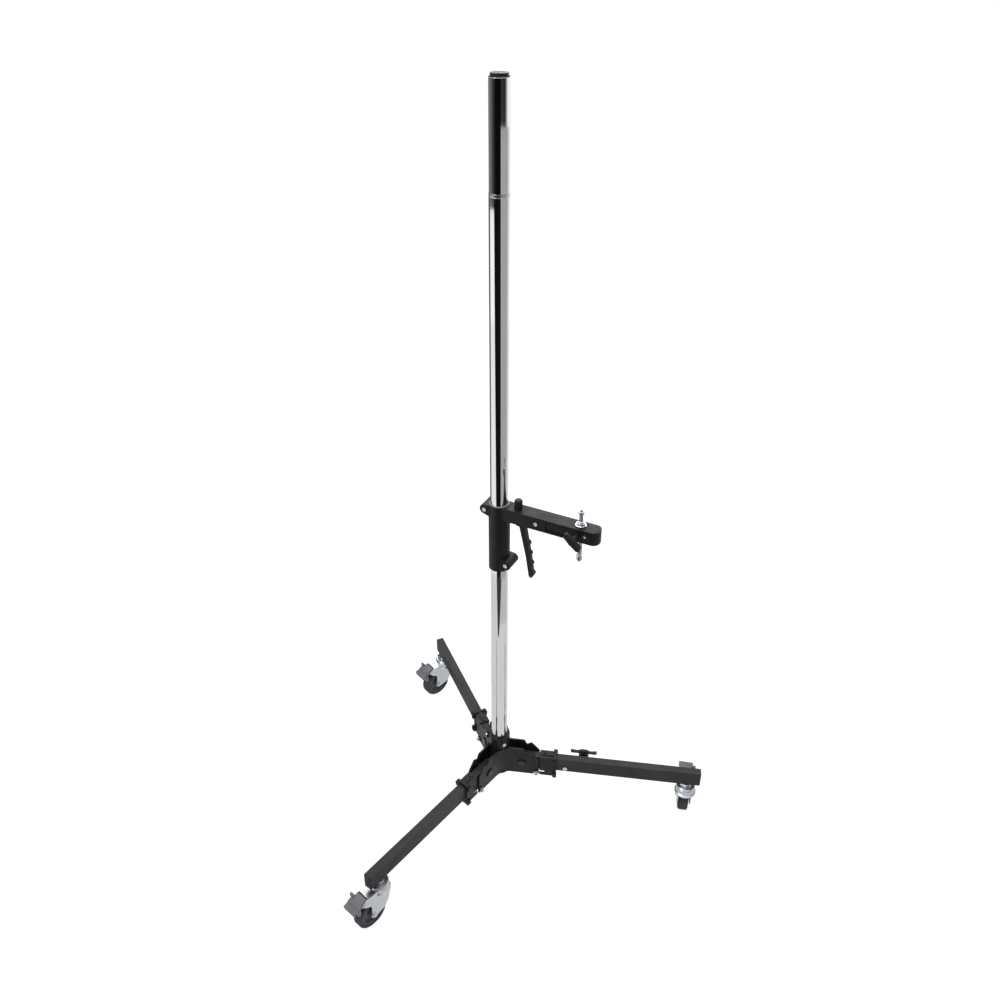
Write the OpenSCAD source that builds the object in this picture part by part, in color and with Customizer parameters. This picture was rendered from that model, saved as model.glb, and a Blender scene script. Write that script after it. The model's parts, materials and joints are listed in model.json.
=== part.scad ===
// Column stand: folding three-leg base on braked swivel casters, chromed column in two
// sections, and an arm that slides on the column on two rollers and carries a stud.
// Millimetres, Z up. The origin is on the floor in the middle of the footprint's box, the right
// leg is along +X.

/* [Column] */
// outside diameter of both column tubes
column_od = 50; // [48:0.5:52]
// wall thickness of both column tubes
column_wall = 2; // [1.5:0.5:3]
// height of the upper tube's top edge above the floor
column_top = 2225.5; // [2150:0.5:2350]
// length of the upper section, from the joint to the top
upper_length = 246; // [200:1:300]
// height of the bright ring that shows between the tubes
joint_ring_h = 8; // [5:1:12]
// how far the joint's inner spigot reaches into each tube
joint_spigot_h = 60; // [40:5:80]
// how far the top plug stands above the tube
plug_cap_h = 9; // [7:1:14]
// diameter of the top plug's cap
plug_cap_od = 41; // [38:1:44]
// place of the column axis along X, from the middle of the footprint
column_x = -136.48; // [-160:0.01:-100]
// place of the column axis along Y, from the middle of the footprint
column_y = 32.79; // [0:0.01:60]

/* [Hub] */
// height of the hub casting's underside
hub_floor = 137.5; // [136.5:0.5:138.5]
// thickness of the web under the column
hub_web = 5; // [4:0.5:6]
// height of the column socket's rim
hub_rim = 283.5; // [274.5:1:290.5]
// wall of the column socket
socket_wall = 9; // [8:0.5:10]
// half width inside each of the three channels
channel_half = 17.5; // [17.4:0.1:18]
// thickness of the channel cheeks
cheek_t = 5; // [4.5:0.5:6]
// distance of the hinge pins from the column axis
hinge_r = 76; // [75:0.5:77]
// diameter of the hinge pins
hinge_pin_d = 12; // [10:1:13]
// distance of the latch bolts from the column axis
latch_r = 125; // [124:0.5:125.5]
// diameter of the latch bolts
latch_bolt_d = 8; // [7:0.5:8]
// diameter of the latch bolts' middle sleeve, which the leg rests on
latch_sleeve_d = 16; // [15.6:0.1:16]

/* [Legs] */
// width of the leg tubes
leg_w = 25; // [24:0.5:25.2]
// height of the leg tubes
leg_h = 50; // [48:0.5:50.4]
// wall of the leg tubes
leg_wall = 2; // [1.5:0.5:2.5]
// height of the leg tubes' underside
leg_bottom = 154.5; // [154.5:0.1:154.7]
// distance of the tubes' root ends from the column axis
leg_root = 52; // [51:0.5:54]
// distance of the back and front leg ends from the column axis
leg_end = 608; // [560:1:680]
// distance of the right leg's end from the column axis
right_leg_end = 650; // [600:1:720]
// distance of the right leg's seam from the column axis
right_seam = 252; // [246:1:256]
// distance of a caster stem from its leg's end
stem_inset = 42; // [38:1:46]
// how far the tongue reaches into the right leg's root tube
tongue_in = 110; // [90:1:130]
// how far the tongue reaches into the right leg's outer section
tongue_out = 160; // [140:1:200]

/* [Lock collars] */
// distance of a collar's inner edge from the column axis, drawn out
collar_r = 134; // [133.4:0.1:136]
// length of the collar's box
collar_len = 46; // [42:1:48]
// thickness of the end flange
flange_t = 8; // [6:1:9]
// half width over the flange's corner lugs
flange_half = 27; // [25:0.5:29]
// thickness of the collar's top and bottom walls
collar_wall = 4.7; // [4:0.1:5]
// height of the slot that hooks on to the latch bolt
slot_h = 9; // [8.6:0.1:9.4]

/* [Casters] */
// wheel diameter
wheel_d = 102; // [98:1:104]
// width of the tyre
tyre_w = 32; // [28:1:32]
// diameter of the wheel core's rim
core_d = 76; // [72:1:80]
// distance from the swivel axis to the axle
trail = 42; // [40:1:44]
// diameter of the swivel stem
stem_d = 12; // [10:1:12]
// diameter of the fork's crown
crown_d = 60; // [58:1:62]
// thickness of the fork's plates
fork_t = 2.5; // [2:0.5:3]
// swivel direction of the front caster, from +X
front_dir = 236; // [0:1:359]
// swivel direction of the back caster, from +X
back_dir = 228; // [0:1:359]
// swivel direction of the right caster, from +X
right_dir = 87; // [0:1:359]
// length of the pedal's tread beyond the fork's rivets
pedal_len = 43; // [38:1:46]
// half width of the pedal's outer tread
pedal_half = 23; // [20:1:25]

/* [Arm] */
// direction of the arm, from +X
arm_dir = -19.6; // [-180:0.1:180]
// height of the arm's underside
arm_bottom = 1114.5; // [1104.5:1:1124.5]
// height of the arm's section
arm_h = 39; // [38:0.5:41]
// width of the arm
arm_w = 45.2; // [44:0.2:48]
// distance of the arm's end from the column axis
arm_end = 300; // [290:1:330]
// wall thickness of the hollow arm
arm_wall = 5; // [4.5:0.1:5.2]
// outside diameter of the collar and of the sleeve
sleeve_od = 60; // [59:0.5:62]
// height of the sleeve's lower end
sleeve_bottom = 942.5; // [924.5:1:954.5]
// distance of the stud from the column axis
stud_x = 243; // [240:1:246]
// distance of the brake lever's pivot from the column axis
lever_x = 122; // [118:1:126]
// distance of the adjuster knob from the column axis
adjuster_x = 58.6; // [56:0.2:61]
// radius of the ears round the roller axles
ear_r = 14.5; // [14:0.1:16]
// half width of the roller ears
ear_half = 26; // [24:0.5:28]
// length of the rollers
roller_len = 20; // [18:1:20]
// distance of the roller axles from the column's surface
roller_out = 8; // [7.8:0.1:8.4]

/* [Arm fittings] */
// diameter of the stud's heads
stud_d = 16; // [15.5:0.1:16]
// diameter of the adjuster knob
adjuster_d = 22.5; // [20:0.5:26]
// reach of the lock knob's wings from its axis
lock_wing = 30; // [26:1:34]
// reach of the extension knob's wings from its axis
ext_wing = 42; // [34:1:46]

/* [Hidden] */

$fn = 64;
cut = 1;
run = 0.05;
gap = 0.3;
black_metal = [0.05, 0.05, 0.055];
charcoal = [0.14, 0.14, 0.145];
zinc = [0.78, 0.8, 0.8];
chrome = [0.85, 0.86, 0.87];
rubber_grey = [0.2, 0.19, 0.21];
pedal_grey = [0.47, 0.46, 0.5];

column_r = column_od / 2;
tube_bore = column_r - column_wall;
column_seam = column_top - upper_length;
socket_r = column_r + socket_wall;
cheek_out = channel_half + cheek_t;
cheek_top = hub_floor + 105;
hinge_z = leg_bottom + leg_h / 2;
leg_top = leg_bottom + leg_h;
leg_half = leg_w / 2;
latch_z = leg_bottom - latch_sleeve_d / 2 - gap;
latch_head_r = 7;
boss_h = 3.5;
pin_head_r = hinge_pin_d / 2 + 5;
legs = [0, 120, 240];
cap_t = 3;
collar_in = leg_half + gap;
collar_out = channel_half - 0.5;
collar_low = leg_bottom - 23;
lug_r = 8.5;
lug_t = 2;
slot_len = 13.5;
collar_travel = 22;
wheel_r = wheel_d / 2;
plate_in = tyre_w / 2 + 3;
plate_out = plate_in + fork_t;
race_low = leg_bottom - 17;
race_top = leg_bottom - 9.5;
race_r = 30;
crown_top = race_low - gap;
crown_low = leg_bottom - 41.5;
crown_wall = 3;
skirt = 4;
rivet_x = trail + 29;
rivet_z = leg_bottom - 33;
toe_gap = 0.4;
bridge_x = rivet_x - 13;
rivet_d = 8;
arm_top = arm_bottom + arm_h;
arm_half = arm_w / 2;
sleeve_r = sleeve_od / 2;
neck_r = sleeve_r - 2;
neck_h = 8;
liner_r = column_r + 2;
liner_h = 12;
top_liner_h = 5;
rear_axle = [-column_r - roller_out, arm_top - 15];
front_axle = [column_r + roller_out, sleeve_bottom + 27];
axle_r = 3;
pocket_r = ear_r - 2.5;
pivot = [lever_x, arm_bottom + 20];
end_bolt = [arm_end - 35, arm_bottom + 23];
beam_top = arm_top - 14;
adjuster_pocket = arm_top + 17;
lock_z = arm_bottom + 19.5;
knob_axis = [right_seam + 22, leg_half + 15.5];
wing_z = leg_top + 1;
pocket_t = 3;
lug_z = [hinge_z - 13, hinge_z - 5, hinge_z + 5, hinge_z + 13];

// a box between two corners
module box(a, b) {
    translate(a) cube(b - a);
}

// an outline in the XZ plane, given a thickness from y0 to y1
module upright(y0, y1) {
    translate([0, y1, 0]) rotate([90, 0, 0]) linear_extrude(y1 - y0) children();
}

// the same outline on both sides of the middle plane
module both_sides(y0, y1) {
    upright(y0, y1) children();
    upright(-y1, -y0) children();
}

// a round bar along Y at [x, z], from y0 to y1
module cross_bar(at, y0, y1, r) {
    translate([at[0], y0, at[1]]) rotate([-90, 0, 0]) cylinder(h = y1 - y0, r = r);
}

// a hexagon along Y at [x, z], from y0 to y1
module cross_hex(at, y0, y1, flats) {
    translate([at[0], y0, at[1]]) rotate([-90, 0, 0])
        cylinder(h = y1 - y0, r = flats / 2 / cos(30), $fn = 6);
}

// a round bar along Z
module post(z0, z1, r) {
    translate([0, 0, z0]) cylinder(h = z1 - z0, r = r);
}

// a hexagon along Z
module post_hex(z0, z1, flats) {
    translate([0, 0, z0]) cylinder(h = z1 - z0, r = flats / 2 / cos(30), $fn = 6);
}

// everything stands on the column axis, which is beside the footprint's middle
module placed() {
    translate([column_x, column_y, 0]) children();
}

module on_leg(a) {
    rotate([0, 0, a]) children();
}

module on_caster(a, dir, end) {
    rotate([0, 0, a]) translate([end - stem_inset, 0, 0]) rotate([0, 0, dir - a]) children();
}

module on_arm() {
    rotate([0, 0, arm_dir]) children();
}

// Column and hub

module cheek_outline() {
    polygon([[28, cheek_top], [hinge_r + 4, cheek_top], [hinge_r + 12, cheek_top - 16],
        [hinge_r + 16, cheek_top - 16], [latch_r - 21, cheek_top - 9],
        [latch_r + 6, cheek_top - 39], [latch_r + 6, hub_floor + 46],
        [latch_r + 8, hub_floor], [20, hub_floor]]);
}

// hollow wall in the corner between two channels, in six flats
module corner_wall() {
    half = [[22, 0], [43.2, 32.8], [42, 28.4], [37.3, 16.2], [socket_r + 1.2, 0]];
    for (s = [0, 1]) mirror([0, s, 0]) translate([0, 0, hub_floor + 1])
        linear_extrude(cheek_top - hub_floor - 2) polygon(half);
}

module hub_casting() color(black_metal) placed() difference() {
    union() {
        post(hub_floor + 1, hub_rim, socket_r);
        post(hub_floor - 0.5, hub_floor + hub_web, socket_r + 3);
        for (a = legs) on_leg(a) {
            both_sides(channel_half, cheek_out) cheek_outline();
            for (s = [0, 1]) mirror([0, s, 0]) {
                cross_bar([hinge_r, hinge_z], cheek_out - cut, cheek_out + boss_h, pin_head_r + 4);
                cross_bar([latch_r, latch_z], cheek_out - cut, cheek_out + 2.5, latch_head_r + 3);
            }
        }
        for (a = legs) on_leg(a + 60) {
            corner_wall();
            translate([0, 0, hub_rim - 15]) rotate([0, 90, 0]) cylinder(h = socket_r + 6, r = 9);
            box([socket_r - 4, -4, hub_rim - 12], [socket_r + 6, 4, hub_rim + 2]);
        }
    }
    post(hub_floor + hub_web, hub_rim + 2 * cut, column_r + run);
    for (a = legs) on_leg(a) {
        cross_bar([hinge_r, hinge_z], -cheek_out - 9, cheek_out + 9, hinge_pin_d / 2 + gap);
        cross_bar([latch_r, latch_z], -cheek_out - 9, cheek_out + 9, latch_bolt_d / 2 + gap);
        cross_bar([hinge_r, hinge_z], cheek_out + 1.5, cheek_out + 9, pin_head_r + gap);
        cross_bar([hinge_r, hinge_z], -cheek_out - 9, -cheek_out - 1.5, pin_head_r + gap);
    }
    for (a = legs) on_leg(a + 60)
        translate([0, 0, hub_rim - 15]) rotate([0, 90, 0]) cylinder(h = socket_r + 9, r = 3.3);
}

module column_lower_tube() color(chrome) placed() difference() {
    post(hub_floor + hub_web, column_seam - joint_ring_h / 2, column_r);
    post(hub_floor, column_seam, tube_bore);
}

module column_joint_ring() color(zinc) placed() difference() {
    union() {
        post(column_seam - joint_ring_h / 2, column_seam + joint_ring_h / 2, column_r);
        post(column_seam - joint_spigot_h, column_seam + joint_spigot_h, tube_bore - run);
    }
    post(column_seam - 2 * joint_spigot_h, column_seam + 2 * joint_spigot_h, tube_bore - 3);
}

module column_upper_tube() color(chrome) placed() difference() {
    post(column_seam + joint_ring_h / 2, column_top, column_r);
    post(column_seam, column_top + cut, tube_bore);
}

module column_top_plug() color(black_metal) placed() difference() {
    union() {
        post(column_top - 30, column_top + cut, tube_bore - run);
        post(column_top, column_top + 2, column_r - 1);
        post(column_top + cut, column_top + plug_cap_h, plug_cap_od / 2);
        post(column_top + plug_cap_h - 2.5, column_top + plug_cap_h - 0.5, plug_cap_od / 2 + 1);
    }
    post(column_top - 31, column_top - 3, tube_bore - 3);
}

module leg_hinge_pins() color(black_metal) placed() for (a = legs) on_leg(a) {
    cross_bar([hinge_r, hinge_z], -cheek_out - 2, cheek_out + 2, hinge_pin_d / 2);
    cross_bar([hinge_r, hinge_z], cheek_out + 1.5, cheek_out + 3.2, pin_head_r);
    cross_bar([hinge_r, hinge_z], -cheek_out - 3.2, -cheek_out - 1.5, pin_head_r);
}

module latch_bolts() color(zinc) placed() for (a = legs) on_leg(a) {
    cross_bar([latch_r, latch_z], -cheek_out - 3, cheek_out + 3, latch_bolt_d / 2);
    cross_bar([latch_r, latch_z], -leg_half, leg_half, latch_sleeve_d / 2);
    for (s = [0, 1]) mirror([0, s, 0]) {
        cross_bar([latch_r, latch_z], cheek_out + 2.5, cheek_out + 4.5, latch_head_r + 2);
        difference() {
            cross_bar([latch_r, latch_z], cheek_out + 3.5, cheek_out + 9, latch_head_r);
            cross_hex([latch_r, latch_z], cheek_out + 6, cheek_out + 10, latch_head_r);
        }
    }
}

module column_socket_screws() color(zinc) placed() for (a = legs) on_leg(a + 60)
    translate([0, 0, hub_rim - 15]) rotate([0, 90, 0]) {
        translate([0, 0, column_r + gap]) cylinder(h = socket_wall + 8, r = 3);
        difference() {
            translate([0, 0, socket_r + 6]) cylinder(h = 4, r = 5.5);
            translate([0, 0, socket_r + 8]) cylinder(h = 4, r = 2.6, $fn = 6);
        }
    }

// Legs

// rectangular leg tube from r0 to r1
module leg_bar(r0, r1) {
    difference() {
        box([r0, -leg_half, leg_bottom], [r1, leg_half, leg_top]);
        box([r0 - cut, -leg_half + leg_wall, leg_bottom + leg_wall],
            [r1 + cut, leg_half - leg_wall, leg_top - leg_wall]);
    }
}

module stem_hole(end) {
    translate([end - stem_inset, 0, 0]) post(leg_bottom - cut, leg_bottom + 5, stem_d / 2 + gap);
}

module root_hole() {
    cross_bar([hinge_r, hinge_z], -leg_w, leg_w, hinge_pin_d / 2 + 9 + run);
}

module leg_tube_right() color(charcoal) placed() difference() {
    leg_bar(leg_root, right_seam);
    root_hole();
    cross_bar([right_seam - 34.5, leg_bottom + 12], -leg_w, 0, 3.3);
}

module leg_tube_back() color(charcoal) placed() on_leg(120) difference() {
    leg_bar(leg_root, leg_end - cap_t);
    root_hole();
    stem_hole(leg_end);
}

module leg_tube_front() color(charcoal) placed() on_leg(240) difference() {
    leg_bar(leg_root, leg_end - cap_t);
    root_hole();
    stem_hole(leg_end);
}

// bush across the tube's root that turns on the hinge pin
module pivot_bush() {
    difference() {
        cross_bar([hinge_r, hinge_z], -channel_half + gap, channel_half - gap, hinge_pin_d / 2 + 9);
        cross_bar([hinge_r, hinge_z], -leg_w, leg_w, hinge_pin_d / 2 + run);
    }
}

module leg_pivot_bush_right() color(zinc) placed() pivot_bush();

module leg_pivot_bush_back() color(zinc) placed() on_leg(120) pivot_bush();

module leg_pivot_bush_front() color(zinc) placed() on_leg(240) pivot_bush();

// plug in the outer end of a leg tube
module end_cap(end) {
    box([end - cap_t, -leg_half, leg_bottom], [end, leg_half, leg_top]);
    difference() {
        box([end - 22, -leg_half + leg_wall + run, leg_bottom + leg_wall + run],
            [end - cap_t + 0.5, leg_half - leg_wall - run, leg_top - leg_wall - run]);
        box([end - 23, -leg_half + leg_wall + 3, leg_bottom + leg_wall + 3],
            [end - cap_t - 2, leg_half - leg_wall - 3, leg_top - leg_wall - 3]);
    }
}

module leg_end_cap_right() color(black_metal) placed() end_cap(right_leg_end);

module leg_end_cap_back() color(black_metal) placed() on_leg(120) end_cap(leg_end);

module leg_end_cap_front() color(black_metal) placed() on_leg(240) end_cap(leg_end);

// collar that slides on the leg's root; its slotted cheeks hook on to the latch bolt
module lock_collar() {
    r1 = collar_r + collar_len;
    floor_r = latch_r + latch_sleeve_d / 2 + collar_travel + 0.5;
    slot_r = collar_r + slot_len;
    difference() {
        union() {
            box([collar_r, -collar_out, leg_bottom], [r1 + cut, collar_out, leg_top + collar_wall]);
            both_sides(collar_in, collar_out)
                polygon([[collar_r, leg_bottom + 9], [collar_r, collar_low + 4],
                    [collar_r + 4, collar_low], [r1 + cut, collar_low], [r1 + cut, leg_bottom + 9]]);
            box([floor_r, -collar_in - cut, leg_bottom - gap - collar_wall],
                [r1 + cut, collar_in + cut, leg_bottom + 4]);
            box([collar_r + 6, -6, leg_top + 2], [r1, 6, leg_top + collar_wall + 2.5]);
            translate([r1, 0, 0]) flange();
        }
        box([collar_r - cut, -collar_in, leg_bottom - gap],
            [r1 + flange_t + lug_t + cut, collar_in, leg_top + gap]);
        box([collar_r - cut, -channel_half, latch_z - slot_h / 2],
            [slot_r, channel_half, latch_z + slot_h / 2]);
        cross_bar([slot_r, latch_z], -channel_half, channel_half, slot_h / 2);
        translate([collar_r + 16, 0, 0]) post(leg_top, leg_top + 20, 3);
    }
}

// end flange of the collar with four rounded corner lugs
module flange() {
    z0 = collar_low - 2;
    z1 = leg_top + collar_wall + 4;
    box([0, lug_r - flange_half, z0], [flange_t, flange_half - lug_r, z1]);
    box([0, -flange_half, z1 - 23], [flange_t, flange_half, z1 - lug_r]);
    box([0, -flange_half, z0 + lug_r], [flange_t, flange_half, z0 + 23]);
    for (s = [-1, 1]) {
        for (z = [z0 + lug_r, z1 - lug_r])
            translate([-lug_t, s * (flange_half - lug_r), z]) rotate([0, 90, 0])
                cylinder(h = flange_t + 2 * lug_t, r = lug_r);
    }
}

module lock_collar_right() color(black_metal) placed() lock_collar();

module lock_collar_back() color(black_metal) placed() on_leg(120) lock_collar();

module lock_collar_front() color(black_metal) placed() on_leg(240) lock_collar();

// The right leg's outer section

module right_leg_extension() color(charcoal) placed() difference() {
    union() {
        leg_bar(right_seam, right_leg_end - cap_t);
        for (k = [0, 2])
            box([right_seam + 6, leg_half - cut, lug_z[k]],
                [right_seam + 38, leg_half + 26, lug_z[k + 1]]);
    }
    stem_hole(right_leg_end);
    box([right_seam + 3, leg_half - leg_wall - cut, hinge_z - 1],
        [right_seam + 70, leg_half + 1, hinge_z + 1]);
    box([right_seam - cut, -leg_half + leg_wall, leg_bottom + leg_wall],
        [right_seam + 60, leg_half - leg_wall, leg_top - leg_wall]);
    translate([knob_axis[0], knob_axis[1], 0]) post(lug_z[0] - cut, lug_z[3] + cut, 5 + run);
}

module extension_tongue() color(zinc) placed() difference() {
    box([right_seam - tongue_in, -leg_half + leg_wall + gap, leg_bottom + leg_wall + gap],
        [right_seam + tongue_out, leg_half - leg_wall - gap, leg_top - leg_wall - gap]);
    box([right_seam - tongue_in - cut, -leg_half + leg_wall + 3, leg_bottom + leg_wall + 3],
        [right_seam + tongue_out + cut, leg_half - leg_wall - 3, leg_top - leg_wall - 3]);
    cross_bar([right_seam - 34.5, leg_bottom + 12], -leg_w, 0, 3.3);
}

// one wing of a knob, from the axis out to reach, in the XY plane
module wing_outline(reach, root, tip) {
    polygon([[0, -root], [reach - tip, -tip], [reach - tip, tip], [0, root]]);
    translate([reach - tip, 0]) circle(r = tip * 1.02);
}

module extension_clamp_knob() color(black_metal) placed() translate([knob_axis[0], knob_axis[1], 0]) {
    post(lug_z[0] - 3, lug_z[3] + 2, 5);
    post(lug_z[3] + gap, wing_z + 4, 9.5);
    upright(-5, 5)
        polygon([[-ext_wing, wing_z], [-ext_wing, wing_z + 7], [-ext_wing / 2, wing_z + 3.5],
            [-7, wing_z + 10], [7, wing_z + 10], [ext_wing / 2, wing_z + 3.5],
            [ext_wing, wing_z + 7], [ext_wing, wing_z]]);
}

module extension_tongue_screw() color(zinc) placed() difference() {
    union() {
        cross_bar([right_seam - 34.5, leg_bottom + 12], -leg_half - 1, -leg_half + 9, 3);
        cross_bar([right_seam - 34.5, leg_bottom + 12], -leg_half - 3, -leg_half, 7);
    }
    cross_hex([right_seam - 34.5, leg_bottom + 12], -leg_half - 4, -leg_half - 1.2, 6);
}

// Casters, drawn on the swivel axis with the wheel towards +X

module caster_stem() {
    post(leg_bottom - 25, leg_bottom + 18, stem_d / 2);
    post(leg_bottom - 25, crown_top - crown_wall - gap, stem_d / 2 + 3);
    post_hex(race_top, leg_bottom - 2, 24);
    post(leg_bottom - 2, leg_bottom, 17);
    post_hex(leg_bottom + leg_wall, leg_bottom + 12, 19);
}

module caster_stem_right() color(zinc) placed() on_caster(0, right_dir, right_leg_end) caster_stem();

module caster_stem_back() color(zinc) placed() on_caster(120, back_dir, leg_end) caster_stem();

module caster_stem_front() color(zinc) placed() on_caster(240, front_dir, leg_end) caster_stem();

module caster_top_race() {
    rotate_extrude() polygon([[stem_d / 2 + gap, race_low + 3.5], [race_r - 5, race_low + 3.5],
        [race_r - 5, race_low], [race_r - 0.5, race_low], [race_r, race_low + 1],
        [race_r, race_top - 2], [race_r - 2.5, race_top], [stem_d / 2 + gap, race_top]]);
}

module caster_top_race_right() color(zinc) placed()
    on_caster(0, right_dir, right_leg_end) caster_top_race();

module caster_top_race_back() color(zinc) placed() on_caster(120, back_dir, leg_end) caster_top_race();

module caster_top_race_front() color(zinc) placed() on_caster(240, front_dir, leg_end) caster_top_race();

module caster_fork() {
    crown_r = crown_d / 2;
    under = crown_top - crown_wall;
    difference() {
        union() {
            rotate_extrude() polygon([[stem_d / 2 + run, under], [crown_r - crown_wall, under],
                [crown_r - crown_wall, crown_low + 7], [crown_r + skirt - crown_wall, crown_low + 4],
                [crown_r + skirt - crown_wall, crown_low], [crown_r + skirt, crown_low],
                [crown_r + skirt, crown_low + 5], [crown_r, crown_low + 8],
                [crown_r, crown_top - 2], [crown_r - 2, crown_top], [stem_d / 2 + run, crown_top]]);
            both_sides(plate_in, plate_out) fork_outline();
            box([crown_r - 4, -plate_out + 0.5, under], [bridge_x, plate_out - 0.5, crown_top - 0.5]);
        }
        cross_bar([trail, wheel_r], -plate_out - cut, plate_out + cut, 4.3);
        cross_bar([rivet_x, rivet_z], -plate_out - cut, plate_out + cut, rivet_d / 2 + gap);
    }
}

// side plate of the fork: a broad cheek down to the axle with a lug for the pedal's rivet
module fork_outline() {
    polygon([[-20, crown_top - 2], [-20, crown_low + 5], [-26, crown_low + 4], [-14, crown_low - 43],
        [2, wheel_r - 3], [trail - 5, wheel_r - 12], [trail + 4, wheel_r - 12],
        [trail + 8, wheel_r - 4], [trail + 7.5, rivet_z - 26.5], [rivet_x - 1, rivet_z - 13],
        [rivet_x + 11, rivet_z + 2], [rivet_x + 9, rivet_z + 7], [bridge_x + 4, crown_top - 0.5],
        [bridge_x - 30, crown_top - 0.5], [bridge_x - 31, crown_top - 2]]);
    translate([trail, wheel_r]) circle(r = 11);
}

module caster_fork_right() color(zinc) placed() on_caster(0, right_dir, right_leg_end) caster_fork();

module caster_fork_back() color(zinc) placed() on_caster(120, back_dir, leg_end) caster_fork();

module caster_fork_front() color(zinc) placed() on_caster(240, front_dir, leg_end) caster_fork();

// axle bolt and nut, and the two rivets that carry the pedal
module caster_axle() {
    cross_bar([trail, wheel_r], -plate_out - 7, plate_out + 2, 4);
    cross_hex([trail, wheel_r], plate_out, plate_out + 5, 13);
    cross_hex([trail, wheel_r], -plate_out - 5.5, -plate_out, 13);
    for (s = [0, 1]) mirror([0, s, 0]) {
        cross_bar([rivet_x, rivet_z], plate_in - 2.3, plate_out + 1, rivet_d / 2);
        cross_bar([rivet_x, rivet_z], plate_out, plate_out + 1.8, rivet_d / 2 + 2);
    }
}

module caster_axle_right() color(zinc) placed() on_caster(0, right_dir, right_leg_end) caster_axle();

module caster_axle_back() color(zinc) placed() on_caster(120, back_dir, leg_end) caster_axle();

module caster_axle_front() color(zinc) placed() on_caster(240, front_dir, leg_end) caster_axle();

module wheel_core() {
    core_r = core_d / 2;
    hub_half = plate_in - gap;
    rim_half = tyre_w / 2 - 3;
    translate([trail, 0, wheel_r]) rotate([90, 0, 0]) rotate_extrude()
        polygon([[4 + run, -hub_half], [12, -hub_half], [14, -rim_half], [14, -5],
            [core_r - 5, -4], [core_r - 4, -rim_half], [core_r, -rim_half],
            [core_r, rim_half], [core_r - 4, rim_half], [core_r - 5, 4], [14, 5],
            [14, rim_half], [12, hub_half], [4 + run, hub_half]]);
}

module wheel_core_right() color(rubber_grey) placed() on_caster(0, right_dir, right_leg_end) wheel_core();

module wheel_core_back() color(rubber_grey) placed() on_caster(120, back_dir, leg_end) wheel_core();

module wheel_core_front() color(rubber_grey) placed() on_caster(240, front_dir, leg_end) wheel_core();

module tyre() {
    t = tyre_w / 2;
    in_r = core_d / 2 + run;
    translate([trail, 0, wheel_r]) rotate([90, 0, 0]) rotate_extrude()
        polygon([[in_r, -t + 2.5], [in_r + 3, -t], [wheel_r - 4, -t], [wheel_r - 1.2, -t + 1.6],
            [wheel_r, -t + 5], [wheel_r, t - 5], [wheel_r - 1.2, t - 1.6], [wheel_r - 4, t],
            [in_r + 3, t], [in_r, t - 2.5]]);
}

module tyre_right() color(rubber_grey) placed() on_caster(0, right_dir, right_leg_end) tyre();

module tyre_back() color(rubber_grey) placed() on_caster(120, back_dir, leg_end) tyre();

module tyre_front() color(rubber_grey) placed() on_caster(240, front_dir, leg_end) tyre();

// two-step pedal with cheeks inside the fork's lugs and a toe that bears on the tyre
module brake_pedal() {
    cheek = plate_in - gap;
    x0 = rivet_x - 8;
    x1 = rivet_x + pedal_len;
    z0 = rivet_z;
    difference() {
        union() {
            upright(-cheek, cheek)
                polygon([[x0, z0 + 14.2], [x0, z0 + 17.6], [x0 + 24, z0 + 14], [x0 + 24, z0 + 9.5]]);
            both_sides(cheek - 2, cheek)
                polygon([[x0, z0 + 17], [x0 + 24, z0 + 13], [x0 + 26, z0 + 2], [x0 + 18, z0 - 8],
                    [rivet_x, z0 - 9.5], [x0, z0 - 6]]);
            upright(-pedal_half, pedal_half)
                polygon([[x0 + 22, z0 + 15], [x0 + 22, z0 + 6], [x1 - 4, z0 - 2],
                    [x1 - 5, z0 - 11.5], [x1 - 1.5, z0 - 12], [x1 + 1, z0 + 1], [x1 - 1, z0 + 3],
                    [x0 + 36, z0 + 7], [x0 + 34, z0 + 12]]);
            upright(-pedal_half - 7, 2 - cheek)
                polygon([[x0 + 13, z0 + 11.5], [x0 + 13, z0 + 20], [x0 + 15, z0 + 23],
                    [x0 + 19, z0 + 23], [x0 + 21, z0 + 20], [x0 + 21, z0 + 11.5]]);
            upright(-tyre_w / 2 + 4, tyre_w / 2 - 4)
                polygon([[x0 + 21, z0 + 9], [x0 + 33, z0 + 4], [x0 + 29, z0 - 38],
                    [x0 + 24, z0 - 43], [x0 + 19, z0 - 40], [x0 + 18, z0 - 30]]);
        }
        cross_bar([rivet_x, rivet_z], -cheek - cut, cheek + cut, rivet_d / 2 + run);
        cross_bar([trail, wheel_r], -tyre_w, tyre_w, wheel_r + toe_gap);
    }
}

module brake_pedal_right() color(pedal_grey) placed() on_caster(0, right_dir, right_leg_end) brake_pedal();

module brake_pedal_back() color(pedal_grey) placed() on_caster(120, back_dir, leg_end) brake_pedal();

module brake_pedal_front() color(pedal_grey) placed() on_caster(240, front_dir, leg_end) brake_pedal();

// The arm, drawn along +X from the column

module arm_glide_liners() color(zinc) placed() on_arm() {
    difference() {
        union() {
            post(arm_top - top_liner_h, arm_top + 2, liner_r);
            post(arm_top, arm_top + 2, liner_r + 1);
        }
        post(arm_top - 9, arm_top + 9, column_r + 2 * run);
    }
    difference() {
        post(sleeve_bottom, sleeve_bottom + liner_h, liner_r);
        post(sleeve_bottom - cut, sleeve_bottom + liner_h + cut, column_r + 2 * run);
    }
}

// ear round a roller axle, with its web back to the column side
module roller_ear(at, z0, z1, side) {
    upright(-ear_half, ear_half) {
        translate(at) circle(r = ear_r);
        polygon([[side * 8, z0], [side * 8, z1], [at[0], min(z1, at[1] + ear_r - 0.2)],
            [at[0] + side * 3, at[1] - ear_r + 0.6]]);
    }
}

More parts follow.
